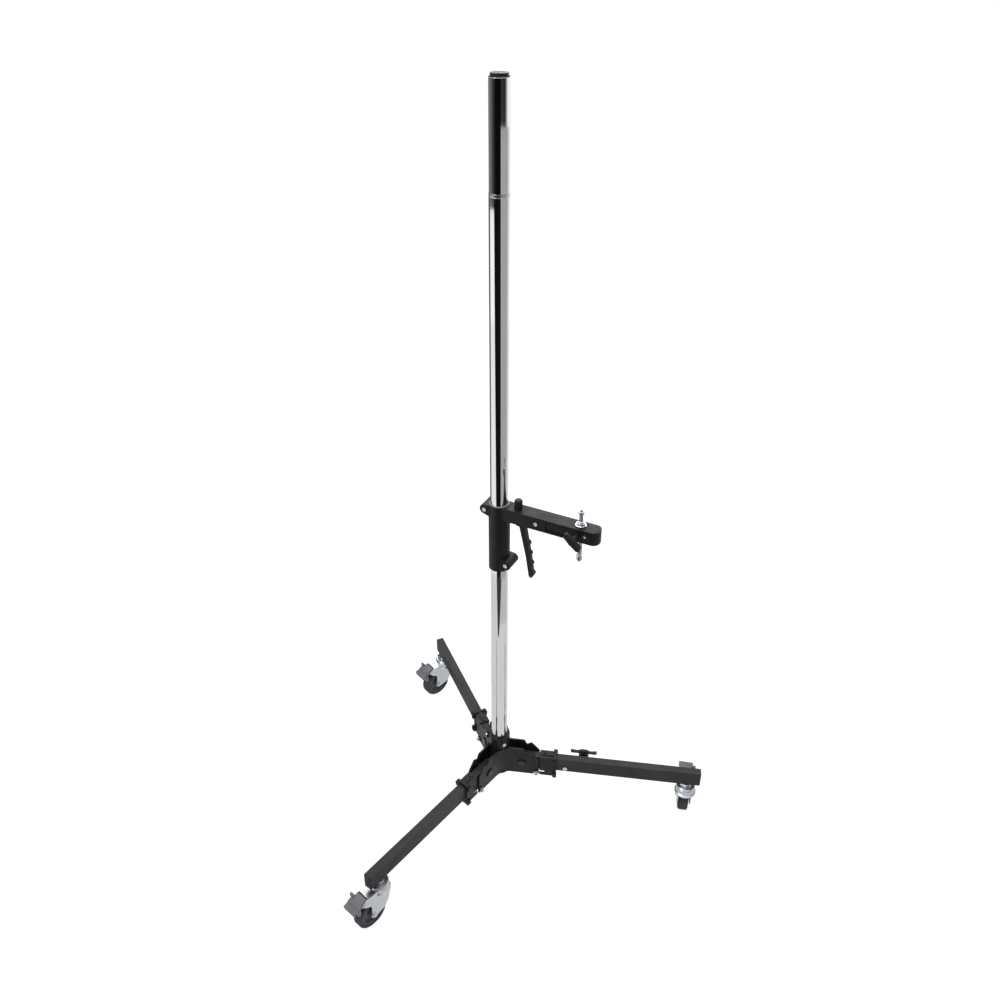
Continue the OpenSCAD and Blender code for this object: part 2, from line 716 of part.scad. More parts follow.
module roller_room(at) {
    cross_bar(at, -roller_len / 2 - 0.5, roller_len / 2 + 0.5, pocket_r);
    cross_bar(at, -ear_half - cut, ear_half + cut, axle_r + gap);
}

module arm_plan() {
    square_end = arm_end - 20;
    translate([20, -arm_half]) square([square_end - 20, arm_w]);
    translate([square_end - cut, -arm_half + 20]) square([20 + cut, arm_w - 40]);
    for (s = [-1, 1]) translate([square_end, s * (arm_half - 20)]) circle(r = 20);
}

module arm_casting() color(black_metal) placed() on_arm() difference() {
    union() {
        post(arm_bottom, arm_top, sleeve_r);
        translate([0, 0, arm_bottom]) linear_extrude(arm_h) arm_plan();
        roller_ear(rear_axle, arm_bottom, arm_top, -1);
    }
    post(arm_bottom - cut, arm_top + cut, column_r + 0.5);
    post(arm_bottom - cut, arm_bottom + neck_h + gap, neck_r + run);
    post(arm_top - top_liner_h, arm_top + cut, liner_r + gap);
    roller_room(rear_axle);
    box([sleeve_r + 1, -arm_half + arm_wall, arm_bottom - cut],
        [stud_x - 21, arm_half - arm_wall, arm_top - arm_wall]);
    box([0, -10, arm_bottom + 10], [sleeve_r + 2, 10, arm_top - arm_wall]);
    for (s = [0, 1]) mirror([0, s, 0])
        box([lever_x + 28, arm_half - pocket_t, arm_bottom + 6], [stud_x - 11, arm_w, arm_top - 6]);
    translate([adjuster_x, 0, 0]) post(arm_bottom + 20, arm_top + cut, 7 + run);
    translate([stud_x, 0, 0]) post(arm_bottom - cut, arm_top + cut, stud_d / 2 + run);
    cross_bar([stud_x, lock_z], -arm_w, 0, 4 + run);
    cross_bar(pivot, -arm_w, arm_w, 4.3);
    cross_bar(end_bolt, -arm_w, arm_w, 3.3);
}

module arm_sleeve() color(black_metal) placed() on_arm() difference() {
    union() {
        post(sleeve_bottom, arm_bottom, sleeve_r);
        post(arm_bottom - cut, arm_bottom + neck_h, neck_r);
        roller_ear(front_axle, sleeve_bottom + 1, sleeve_bottom + 45, 1);
    }
    post(sleeve_bottom - cut, arm_bottom + neck_h + cut, column_r + 0.5);
    post(sleeve_bottom - cut, sleeve_bottom + liner_h, liner_r + gap);
    roller_room(front_axle);
}

// hourglass roller whose waist follows the column
module roller(at) {
    translate([at[0], 0, at[1]]) rotate([90, 0, 0]) rotate_extrude() difference() {
        translate([axle_r + run, -roller_len / 2])
            square([roller_out + 2 - axle_r, roller_len]);
        translate([column_r + roller_out, 0]) circle(r = column_r + 3 * run);
    }
}

module upper_rear_roller() color(rubber_grey) placed() on_arm() roller(rear_axle);

module lower_front_roller() color(rubber_grey) placed() on_arm() roller(front_axle);

// pan head with a hexagon socket on the near side, nut on the far side
module arm_bolt(at, half, r, head_r) {
    difference() {
        union() {
            cross_bar(at, -half - 1, half + 1, r);
            cross_bar(at, -half - 3, -half, head_r);
        }
        cross_hex(at, -half - 4, -half - 1.4, head_r * 0.9);
    }
    cross_hex(at, half, half + 4, head_r * 1.8);
}

module arm_bolts() color(zinc) placed() on_arm() {
    arm_bolt(rear_axle, ear_half, axle_r, 6);
    arm_bolt(front_axle, ear_half, axle_r, 6);
    arm_bolt(pivot, arm_half, 4, 5.6);
    arm_bolt(end_bolt, arm_half, axle_r, 4.6);
}

// handle with four finger swellings, hung from a beam that carries the shoe
module brake_lever() color(black_metal) placed() on_arm() difference() {
    union() {
        upright(-7, 7) polygon([[sleeve_r + 1, arm_bottom + 16.4], [sleeve_r + 1, beam_top - 1],
            [adjuster_x - 8, beam_top], [adjuster_x + 8, beam_top], [lever_x - 10, pivot[1] + 8],
            [lever_x, pivot[1] + 9.8], [lever_x, pivot[1] - 9.8], [82, arm_bottom + 3],
            [62, arm_bottom + 3], [50, arm_bottom + 12]]);
        cross_bar(pivot, -arm_half + arm_wall + gap, arm_half - arm_wall - gap, 10);
        upright(-8, 8) handle_outline();
        translate([67, 0, 0]) post(arm_bottom - 9, arm_bottom - 3, 15);
    }
    cross_bar(pivot, -arm_w, arm_w, 4 + run);
}

module handle_outline() {
    polygon([[61, arm_bottom + 7], [78, arm_bottom + 7], [99.5, arm_bottom - 105],
        [109.5, arm_bottom - 169], [103, arm_bottom - 175], [97, arm_bottom - 171],
        [86.5, arm_bottom - 105]]);
    for (k = [0:3]) translate([88 + 5.6 * k, arm_bottom - 65 - 32 * k]) circle(r = 9 - k / 2);
}

module brake_shoe() color(rubber_grey) placed() on_arm() difference() {
    box([column_r, -9, arm_bottom + 16.4], [sleeve_r + 1, 9, beam_top - 1]);
    post(arm_bottom, arm_top, column_r + gap);
}

module brake_spring() color(zinc) placed() on_arm() translate([adjuster_x, 0, 0]) difference() {
    post(beam_top + 0.1, adjuster_pocket - 0.1, 5);
    post(beam_top - cut, adjuster_pocket + cut, 3.6);
}

module brake_adjuster_knob() color(black_metal) placed() on_arm() translate([adjuster_x, 0, 0])
    difference() {
        union() {
            post(arm_top - 6.7, arm_top + 2, 7);
            post(arm_top + gap, arm_top + 24, adjuster_d / 2);
            post(arm_top + 23, arm_top + 27, adjuster_d / 2 - 2.2);
        }
        post(arm_top - 8, adjuster_pocket, 5.5);
        for (k = [0:11]) rotate([0, 0, 30 * k]) translate([adjuster_d / 2 + 1, 0, 0])
            post(arm_top + 3, arm_top + 25, 2);
    }

module spigot() color(zinc) placed() on_arm() translate([stud_x, 0, 0]) {
    s = stud_d / 2;
    rotate_extrude() polygon([[0, arm_bottom - 74.4], [4, arm_bottom - 74.4],
        [4.75, arm_bottom - 73.6], [4.75, arm_bottom - 70], [s - 0.8, arm_bottom - 70],
        [s, arm_bottom - 69.2], [s, arm_bottom - 55], [5.75, arm_bottom - 53],
        [5.75, arm_bottom - 49], [7, arm_bottom - 47], [7, arm_bottom - 6],
        [s, arm_bottom - 3], [s, arm_top + 12.6], [5.25, arm_top + 14],
        [5.25, arm_top + 34], [s, arm_top + 36], [s, arm_top + 43.2], [s - 0.8, arm_top + 44],
        [4.75, arm_top + 44], [4.75, arm_top + 50.2], [4, arm_top + 51], [0, arm_top + 51]]);
}

module spigot_nut() color(zinc) placed() on_arm() translate([stud_x, 0, 0]) difference() {
    union() {
        post(arm_top + gap, arm_top + 3, 15);
        post_hex(arm_top + 2, arm_top + 9, 22);
    }
    post(arm_top - cut, arm_top + 10, stud_d / 2 + run);
}

module spigot_lock_knob() color(black_metal) placed() on_arm() translate([stud_x, 0, lock_z])
    rotate([90, 0, 0]) {
        translate([0, 0, stud_d / 2 + gap]) cylinder(h = arm_half + 8 - stud_d / 2, r = 4);
        translate([0, 0, arm_half + 1.4]) cylinder(h = 40, r = 8.5);
        for (s = [0, 180]) rotate([0, 0, s - 42]) translate([0, 0, arm_half + 27])
            linear_extrude(13) wing_outline(lock_wing, 9, 7.5);
    }

hub_casting();
column_lower_tube();
column_joint_ring();
column_upper_tube();
column_top_plug();
leg_hinge_pins();
latch_bolts();
column_socket_screws();
leg_tube_right();
leg_tube_back();
leg_tube_front();
leg_pivot_bush_right();
leg_pivot_bush_back();
leg_pivot_bush_front();
leg_end_cap_right();
leg_end_cap_back();
leg_end_cap_front();
lock_collar_right();
lock_collar_back();
lock_collar_front();
caster_stem_right();
caster_stem_back();
caster_stem_front();
caster_top_race_right();
caster_top_race_back();
caster_top_race_front();
caster_fork_right();
caster_fork_back();
caster_fork_front();
caster_axle_right();
caster_axle_back();
caster_axle_front();
wheel_core_right();
wheel_core_back();
wheel_core_front();
tyre_right();
tyre_back();
tyre_front();
brake_pedal_right();
brake_pedal_back();
brake_pedal_front();
right_leg_extension();
extension_tongue();
extension_clamp_knob();
extension_tongue_screw();
arm_glide_liners();
arm_casting();
arm_sleeve();
upper_rear_roller();
lower_front_roller();
arm_bolts();
brake_lever();
brake_shoe();
brake_spring();
brake_adjuster_knob();
spigot();
spigot_nut();
spigot_lock_knob();
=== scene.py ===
"""Looks of a rolling studio column stand: chrome column, folding braked base, sliding stud arm.

Most pieces are the frame's solids with rounded edges. Tubes, bearing rings, wheels and top plug
are turned anew; threads, ribs and grip ridges are added. The sub-assemblies' sizes are in
millimetres, the studio's in metres.
"""

import json
import logging
import math
from dataclasses import dataclass, field
from enum import Enum
from typing import ClassVar, Dict, List, Optional, Sequence, Tuple

import bmesh
import bpy
from mathutils import Matrix, Vector


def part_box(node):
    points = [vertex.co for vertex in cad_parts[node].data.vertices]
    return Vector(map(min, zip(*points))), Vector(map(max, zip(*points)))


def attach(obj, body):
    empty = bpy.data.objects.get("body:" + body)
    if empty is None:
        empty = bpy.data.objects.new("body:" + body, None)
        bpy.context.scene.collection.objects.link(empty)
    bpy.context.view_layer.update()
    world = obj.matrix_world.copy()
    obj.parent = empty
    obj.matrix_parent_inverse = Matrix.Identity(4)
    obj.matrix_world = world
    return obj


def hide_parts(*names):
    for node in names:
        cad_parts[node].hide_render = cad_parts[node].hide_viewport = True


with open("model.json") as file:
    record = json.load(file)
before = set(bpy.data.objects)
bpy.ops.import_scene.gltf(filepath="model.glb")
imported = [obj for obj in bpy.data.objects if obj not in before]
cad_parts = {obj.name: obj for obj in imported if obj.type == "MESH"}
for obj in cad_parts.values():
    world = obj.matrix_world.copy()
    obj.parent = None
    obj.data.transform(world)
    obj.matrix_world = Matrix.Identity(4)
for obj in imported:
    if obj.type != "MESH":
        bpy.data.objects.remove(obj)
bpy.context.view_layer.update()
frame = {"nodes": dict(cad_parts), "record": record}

LOG = logging.getLogger("column_stand")
MM = 0.001
Colour = Tuple[float, float, float]
Point2 = Tuple[float, float]
Point3 = Tuple[float, float, float]
Outline = Tuple[Point2, ...]
WHITE = (1.0, 1.0, 1.0, 1.0)


class Leg(Enum):
    """The three legs; the value is the ending of the leg's piece names."""

    RIGHT = "right"
    BACK = "back"
    FRONT = "front"


# node trees


class NodeSheet:
    """A node tree with a short call that adds and links its nodes."""

    def __init__(self, tree: bpy.types.NodeTree) -> None:
        """Takes over a tree and empties it."""
        self.tree = tree
        self.tree.nodes.clear()

    def add(self, kind: str, inputs: Optional[dict] = None, **settings: object) -> bpy.types.Node:
        """Adds a node.

        Args:
            kind: Blender's node type.
            inputs: Socket name or index to a value or to another socket.
            **settings: Properties of the node.

        Returns:
            The new node.
        """
        node = self.tree.nodes.new(kind)
        for key, value in settings.items():
            setattr(node, key, value)
        for key, value in (inputs or {}).items():
            if isinstance(value, bpy.types.NodeSocket):
                self.tree.links.new(value, node.inputs[key])
            else:
                node.inputs[key].default_value = value
        return node


@dataclass(frozen=True)
class Noise:
    """Settings of a noise on object coordinates.

    Attributes:
        scale: Features per metre.
        octaves: Number of finer layers.
        rough: How strong the finer layers are.
        along_z: Scale along the height, below 1 where the pattern is drawn out.
    """

    scale: float
    octaves: float = 3.0
    rough: float = 0.55
    along_z: float = 1.0


class ShaderSheet(NodeSheet):
    """The shader nodes of a material or of the world."""

    MIX_FACTOR: ClassVar[int] = 0
    MIX_COLOURS: ClassVar[Tuple[int, int]] = (6, 7)
    MIX_RESULT: ClassVar[int] = 2

    def __init__(self, owner: bpy.types.ID, output: str = "ShaderNodeOutputMaterial") -> None:
        """Starts an empty tree with its output.

        Args:
            owner: The material or world.
            output: Blender's type of the output node.
        """
        owner.use_nodes = True
        super().__init__(owner.node_tree)
        self.out = self.add(output)

    def close(self, shader: bpy.types.Node) -> None:
        """Links the last shader to the output."""
        self.tree.links.new(shader.outputs[0], self.out.inputs[0])

    def ramp(self, source: bpy.types.NodeSocket, low: float, high: float,
             out_low: float, out_high: float) -> bpy.types.NodeSocket:
        """Maps a value from one range to another, clamped.

        Args:
            source: Socket that gives the value.
            low: Start of the incoming range.
            high: End of the incoming range.
            out_low: Value given at low.
            out_high: Value given at high.

        Returns:
            The mapped value's socket.
        """
        node = self.add("ShaderNodeMapRange", {
            "Value": source, "From Min": low, "From Max": high,
            "To Min": out_low, "To Max": out_high})
        return node.outputs["Result"]

    def noise(self, grain: Noise) -> bpy.types.NodeSocket:
        """Adds a noise on object coordinates.

        Args:
            grain: The noise's settings.

        Returns:
            The noise's value socket.
        """
        place = self.add("ShaderNodeTexCoord").outputs["Object"]
        mapped = self.add("ShaderNodeMapping", {
            "Vector": place, "Scale": (1.0, 1.0, grain.along_z)}).outputs["Vector"]
        node = self.add("ShaderNodeTexNoise", {
            "Vector": mapped, "Scale": grain.scale, "Detail": grain.octaves,
            "Roughness": grain.rough})
        return node.outputs["Fac"]

    def mix(self, factor: bpy.types.NodeSocket, first: object,
            second: object) -> bpy.types.NodeSocket:
        """Mixes two colours.

        Args:
            factor: Socket that goes from the first colour to the second.
            first: Colour or socket at 0.
            second: Colour or socket at 1.

        Returns:
            The mixed colour's socket.
        """
        inputs = {self.MIX_FACTOR: factor}
        for key, value in zip(self.MIX_COLOURS, (first, second)):
            inputs[key] = value if isinstance(value, bpy.types.NodeSocket) else (*value, 1.0)
        return self.add("ShaderNodeMix", inputs, data_type="RGBA").outputs[self.MIX_RESULT]

    def looked_at(self) -> bpy.types.NodeSocket:
        """Tells what is seen, straight or in metal and glass, from what only gives light.

        Returns:
            A socket that is 1 for camera, glossy and transmission rays, and 0 for others.
        """
        path = self.add("ShaderNodeLightPath")
        seen = path.outputs["Is Camera Ray"]
        for other in ("Is Glossy Ray", "Is Transmission Ray"):
            seen = self.add("ShaderNodeMath", {0: seen, 1: path.outputs[other]},
                            operation="MAXIMUM").outputs[0]
        return seen


# finishes


class Grain(Enum):
    """Kinds of fine surface relief."""

    ORANGE_PEEL = Noise(900.0, 2.0, 0.4)
    SAND_CAST = Noise(520.0, 6.0, 0.7)
    MOULDED = Noise(1500.0, 3.0, 0.6)
    DRAWN = Noise(700.0, 3.0, 0.5, 0.04)


@dataclass(frozen=True)
class Finish:
    """A surface finish.

    Attributes:
        name: Name of the material and of the record's slot.
        drift: Colour that the main colour drifts to in broad patches.
        rough_low: Roughness of the glossiest spots.
        rough_high: Roughness of the dullest spots.
        relief: Height of the grain in millimetres.
        worn: Colour of rubbed edges.
        wear: Share of the worn colour on the most rubbed spots.
    """

    PATCHES: ClassVar[Noise] = Noise(9.0, 4.0)
    CHIPS: ClassVar[Noise] = Noise(260.0, 5.0, 0.7)
    SHEEN: ClassVar[Noise] = Noise(31.0, 5.0, 0.6)
    PATCH_SPAN: ClassVar[Point2] = (0.35, 0.68)
    CHIP_SPAN: ClassVar[Point2] = (0.46, 0.62)
    SHEEN_SPAN: ClassVar[Point2] = (0.3, 0.7)
    BUMP_STRENGTH: ClassVar[float] = 0.35

    name: str
    colour: Colour
    drift: Colour
    rough_low: float
    rough_high: float
    grain: Grain
    relief: float
    worn: Colour
    wear: float
    metallic: float = 0.0
    specular: float = 0.5

    def build(self) -> bpy.types.Material:
        """Makes the finish's material.

        Returns:
            The material.
        """
        material = bpy.data.materials.new(self.name)
        sheet = ShaderSheet(material)
        patches = sheet.ramp(sheet.noise(self.PATCHES), *self.PATCH_SPAN, 0.0, 1.0)
        ground = sheet.mix(patches, self.colour, self.drift)
        edge = sheet.add("ShaderNodeAttribute", attribute_name="edge").outputs["Fac"]
        chips = sheet.ramp(sheet.noise(self.CHIPS), *self.CHIP_SPAN, 0.0, self.wear)
        rubbed = sheet.add("ShaderNodeMath", {0: edge, 1: chips}, operation="MULTIPLY").outputs[0]
        gloss = sheet.ramp(sheet.noise(self.SHEEN), *self.SHEEN_SPAN,
                           self.rough_low, self.rough_high)
        bump = sheet.add("ShaderNodeBump", {
            "Height": sheet.noise(self.grain.value), "Strength": self.BUMP_STRENGTH,
            "Distance": self.relief * MM})
        sheet.close(sheet.add("ShaderNodeBsdfPrincipled", {
            "Base Color": sheet.mix(rubbed, ground, self.worn), "Roughness": gloss,
            "Normal": bump.outputs[0], "Metallic": self.metallic,
            "Specular IOR Level": self.specular}))
        return material


class Finishes:
    """The stand's finishes, each made once."""

    SPECS: ClassVar[Tuple[Finish, ...]] = (
        Finish("black_casting", (0.0080, 0.0080, 0.0092), (0.0135, 0.0133, 0.0150), 0.38, 0.52,
               Grain.SAND_CAST, 0.12, (0.075, 0.075, 0.08), 0.5, specular=0.2),
        Finish("black_steel", (0.0100, 0.0100, 0.0110), (0.016, 0.016, 0.0175), 0.32, 0.46,
               Grain.ORANGE_PEEL, 0.03, (0.12, 0.12, 0.125), 0.5, specular=0.3),
        Finish("charcoal_steel", (0.0205, 0.0195, 0.0230), (0.0290, 0.0278, 0.0318), 0.50, 0.64,
               Grain.ORANGE_PEEL, 0.10, (0.11, 0.11, 0.115), 0.45, specular=0.28),
        Finish("chrome", (0.86, 0.865, 0.875), (0.82, 0.825, 0.835), 0.03, 0.065,
               Grain.DRAWN, 0.004, (0.7, 0.7, 0.71), 0.2, metallic=1.0),
        Finish("zinc", (0.60, 0.635, 0.680), (0.69, 0.705, 0.730), 0.21, 0.33,
               Grain.ORANGE_PEEL, 0.03, (0.8, 0.81, 0.82), 0.4, metallic=1.0),
        Finish("black_plastic", (0.0095, 0.0095, 0.0105), (0.0150, 0.0150, 0.0165), 0.44, 0.58,
               Grain.MOULDED, 0.05, (0.04, 0.04, 0.042), 0.4, specular=0.22),
        Finish("wheel_plastic", (0.070, 0.066, 0.080), (0.092, 0.088, 0.102), 0.38, 0.52,
               Grain.MOULDED, 0.05, (0.15, 0.145, 0.16), 0.4, specular=0.3),
        Finish("tyre_rubber", (0.040, 0.0375, 0.045), (0.054, 0.051, 0.060), 0.62, 0.8,
               Grain.MOULDED, 0.09, (0.09, 0.087, 0.095), 0.5, specular=0.25),
        Finish("pedal_plastic", (0.140, 0.136, 0.158), (0.178, 0.173, 0.200), 0.42, 0.58,
               Grain.MOULDED, 0.06, (0.34, 0.335, 0.37), 0.5, specular=0.35),
        Finish("brake_rubber", (0.02, 0.02, 0.02), (0.03, 0.03, 0.03), 0.7, 0.85,
               Grain.MOULDED, 0.08, (0.06, 0.06, 0.06), 0.4, specular=0.2),
        Finish("liner_plastic", (0.21, 0.215, 0.22), (0.27, 0.275, 0.28), 0.30, 0.42,
               Grain.MOULDED, 0.03, (0.4, 0.4, 0.4), 0.3),
    )

    def __init__(self) -> None:
        """Makes every finish's material and reads the record's slots and bodies."""
        self.materials = {spec.name: spec.build() for spec in self.SPECS}
        record = frame["record"]
        self.of_node = {row["node"]: row["material_slot"] for row in record["subparts"]}
        self.body_of = {node: body for body, nodes in record["behaviour"]["bodies"].items()
                        for node in nodes}

    def dress(self, piece: bpy.types.Object, finish: str) -> None:
        """Gives a piece one finish.

        Args:
            piece: Mesh object.
            finish: Name of the finish.
        """
        piece.data.materials.clear()
        piece.data.materials.append(self.materials[finish])


# shaping


def as_mesh(name: str, bm: bmesh.types.BMesh) -> bpy.types.Mesh:
    """Turns a bmesh into a mesh.

    Args:
        name: Name of the mesh.
        bm: The bmesh, which is freed.

    Returns:
        The mesh.
    """
    mesh = bpy.data.meshes.new(name)
    bm.to_mesh(mesh)
    bm.free()
    return mesh


def in_scene(name: str, data: Optional[bpy.types.ID]) -> bpy.types.Object:
    """Makes an object and links it into the scene.

    Args:
        name: Name of the object.
        data: Its mesh, lamp or camera.

    Returns:
        The object.
    """
    thing = bpy.data.objects.new(name, data)
    bpy.context.scene.collection.objects.link(thing)
    return thing


def bends(edge: bmesh.types.BMEdge, least_deg: float) -> bool:
    """Tells whether two faces meet at an edge with more than a given bend, in degrees."""
    return len(edge.link_faces) == 2 and edge.calc_face_angle(0.0) > math.radians(least_deg)


def outline_from(corner: Point2, steps: Sequence[Point2]) -> List[Point2]:
    """Part of a turned outline that is given as radial and axial steps from one corner."""
    return [(corner[0] + radial, corner[1] + axial) for radial, axial in steps]


def middle(node: str) -> Vector:
    """Middle of a solid's box at rest, in metres."""
    low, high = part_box(node)
    return (Vector(low) + Vector(high)) / 2


def upright_at(place: Vector) -> Matrix:
    """Place of a turned body that stands on end over or under a point given in metres."""
    return Matrix.Translation((place.x, place.y, 0.0))


def across_at(place: Vector, heading: float) -> Matrix:
    """Place of a turned body whose axis lies level, square to a heading in radians."""
    return (Matrix.Translation(place) @ Matrix.Rotation(heading, 4, "Z")
            @ Matrix.Rotation(math.radians(-90.0), 4, "X"))


class Shop:
    """Mesh operations that the sub-assemblies share."""

    SMOOTH_DEG: ClassVar[float] = 32.0
    ROUNDED_DEG: ClassVar[float] = 34.0
    CORNER_DEG: ClassVar[float] = 14.0
    FLAT_DEG: ClassVar[float] = 0.6
    WELD: ClassVar[float] = 0.002 * MM

    def __init__(self, finishes: Finishes) -> None:
        """Keeps the finishes and starts the list of pieces."""
        self.finishes = finishes
        self.made: List[str] = []

    def from_bmesh(self, name: str, bm: bmesh.types.BMesh) -> bpy.types.Object:
        """Makes a mesh object of a bmesh, shaded smooth except over its sharp edges.

        Args:
            name: Name of the piece.
            bm: The mesh, which is freed.

        Returns:
            The new object, linked into the scene.
        """
        bm.normal_update()
        for face in bm.faces:
            face.smooth = True
        for edge in bm.edges:
            edge.smooth = not bends(edge, self.SMOOTH_DEG)
        piece = in_scene(name, as_mesh(name, bm))
        self.flatten_shading(piece)
        self.made.append(name)
        return piece

    def flatten_shading(self, piece: bpy.types.Object) -> None:
        """Weighs a piece's shading by face size, so that a rounded edge leaves its wall flat.

        Args:
            piece: Mesh object, its sharp edges marked.
        """
        plain = piece.data
        weigh = piece.modifiers.new("weigh", "WEIGHTED_NORMAL")
        weigh.keep_sharp = True
        seen = piece.evaluated_get(bpy.context.evaluated_depsgraph_get())
        piece.data = bpy.data.meshes.new_from_object(seen)
        piece.modifiers.clear()
        piece.data.name = plain.name
        bpy.data.meshes.remove(plain)

    def seat(self, piece: bpy.types.Object, body: str, finish: str,
             nodes: Sequence[str] = ()) -> None:
        """Finishes a piece, hangs it on its body and hides the solids that it stands for.

        Args:
            piece: The piece, in place.
            body: Body that it moves with.
            finish: Name of its finish.
            nodes: Solids that it stands for.
        """
        self.finishes.dress(piece, finish)
        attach(piece, body)
        if nodes:
            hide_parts(*nodes)
        LOG.info("%s on %s, %d faces", piece.name, body, len(piece.data.polygons))

    def stand_in(self, node: str, bm: bmesh.types.BMesh) -> None:
        """Seats a mesh in the place of a solid, with the solid's own body and finish."""
        piece = self.from_bmesh(f"{node}-piece", bm)
        self.seat(piece, self.finishes.body_of[node], self.finishes.of_node[node], [node])

    def welded(self, node: str) -> bmesh.types.BMesh:
        """A clean copy of a solid: its triangles joined and its flat faces whole.

        Args:
            node: Name of the solid.

        Returns:
            The copy.
        """
        bm = bmesh.new()
        bm.from_mesh(frame["nodes"][node].data)
        bmesh.ops.remove_doubles(bm, verts=bm.verts, dist=self.WELD)
        bmesh.ops.dissolve_limit(bm, angle_limit=math.radians(self.FLAT_DEG), verts=bm.verts,
                                 edges=bm.edges, use_dissolve_boundaries=False)
        return bm

    def bevel(self, bm: bmesh.types.BMesh, width: float, segments: int = 2) -> None:
        """Rounds a mesh's sharp edges and marks the rounded faces for the finish's wear.

        Args:
            bm: The mesh.
            width: Width of the rounding in millimetres.
            segments: Rows of faces on the rounding.
        """
        layer = bm.faces.layers.float.get("edge") or bm.faces.layers.float.new("edge")
        sharp = [edge for edge in bm.edges if bends(edge, self.ROUNDED_DEG)]
        if not sharp:
            return
        cut = bmesh.ops.bevel(bm, geom=sharp, offset=width * MM, offset_type="OFFSET",
                              segments=segments, profile=0.5, affect="EDGES", clamp_overlap=True,
                              miter_outer="SHARP", miter_inner="SHARP", harden_normals=False)
        for face in cut["faces"]:
            face[layer] = 1.0

    def mark_corners(self, bm: bmesh.types.BMesh) -> None:
        """Marks the faces that turn a corner for the finish's wear.

        Args:
            bm: The mesh.
        """
        layer = bm.faces.layers.float.get("edge") or bm.faces.layers.float.new("edge")
        for face in bm.faces:
            if any(bends(edge, self.CORNER_DEG) for edge in face.edges):
                face[layer] = 1.0

    def joined(self, parts: Sequence[bmesh.types.BMesh]) -> bmesh.types.BMesh:
        """Puts several meshes into one.

        Args:
            parts: The meshes, which are freed.

        Returns:
            The one mesh.
        """
        whole = bmesh.new()
        for part in parts:
            step = as_mesh("step", part)
            whole.from_mesh(step)
            bpy.data.meshes.remove(step)
        return whole

    def block(self, size: Point3, rounding: float, segments: int) -> bmesh.types.BMesh:
        """A small rounded block, its middle at the origin.

        Args:
            size: Its length along each axis in millimetres.
            rounding: Width of its rounded edges in millimetres.
            segments: Rows of faces on each rounded edge.

        Returns:
            The block.
        """
        bm = bmesh.new()
        bmesh.ops.create_cube(bm, size=1.0)
        bmesh.ops.scale(bm, vec=[side * MM for side in size], verts=bm.verts)
        self.bevel(bm, rounding, segments)
        return bm

    def rounded_node(self, node: str, width: float, segments: int = 2) -> None:
        """Stands in for a solid with the same solid, its edges rounded.

        Where the rounding would open the mesh, the solid keeps its plain edges.

        Args:
            node: Name of the solid.
            width: Width of the rounding in millimetres.
            segments: Rows of faces on the rounding.
        """
        bm = self.welded(node)
        plain = bm.copy()
        self.bevel(bm, width, segments)
        if any(len(edge.link_faces) != 2 for edge in bm.edges):
            LOG.info("%s keeps its plain edges", node)
            bm, plain = plain, bm
        plain.free()
        self.stand_in(node, bm)

    def lathe(self, profile: Sequence[Point2], place: Matrix, steps: int) -> bmesh.types.BMesh:
        """Turns a profile that starts and ends on the axis.

        Args:
            profile: Radius and height of each corner in millimetres, from axis to axis.
            place: Puts the turned body in its place, in metres.
            steps: Faces round the axis.

        Returns:
            The turned body, in place.
        """
        bm = bmesh.new()
        turns = [2 * math.pi * k / steps for k in range(steps)]
        rings = [[bm.verts.new((radius * MM * math.cos(a), radius * MM * math.sin(a),
                                height * MM)) for a in (turns if radius else turns[:1])]
                 for radius, height in profile]
        for lower, upper in zip(rings, rings[1:]):
            for k in range(steps):
                j = (k + 1) % steps
                corners = list(dict.fromkeys((
                    lower[k % len(lower)], lower[j % len(lower)],
                    upper[j % len(upper)], upper[k % len(upper)])))
                if len(corners) > 2:
                    bm.faces.new(corners)
        bmesh.ops.recalc_face_normals(bm, faces=bm.faces)
        self.mark_corners(bm)
        bm.transform(place)
        return bm


# jigs that turn, repeat and thread


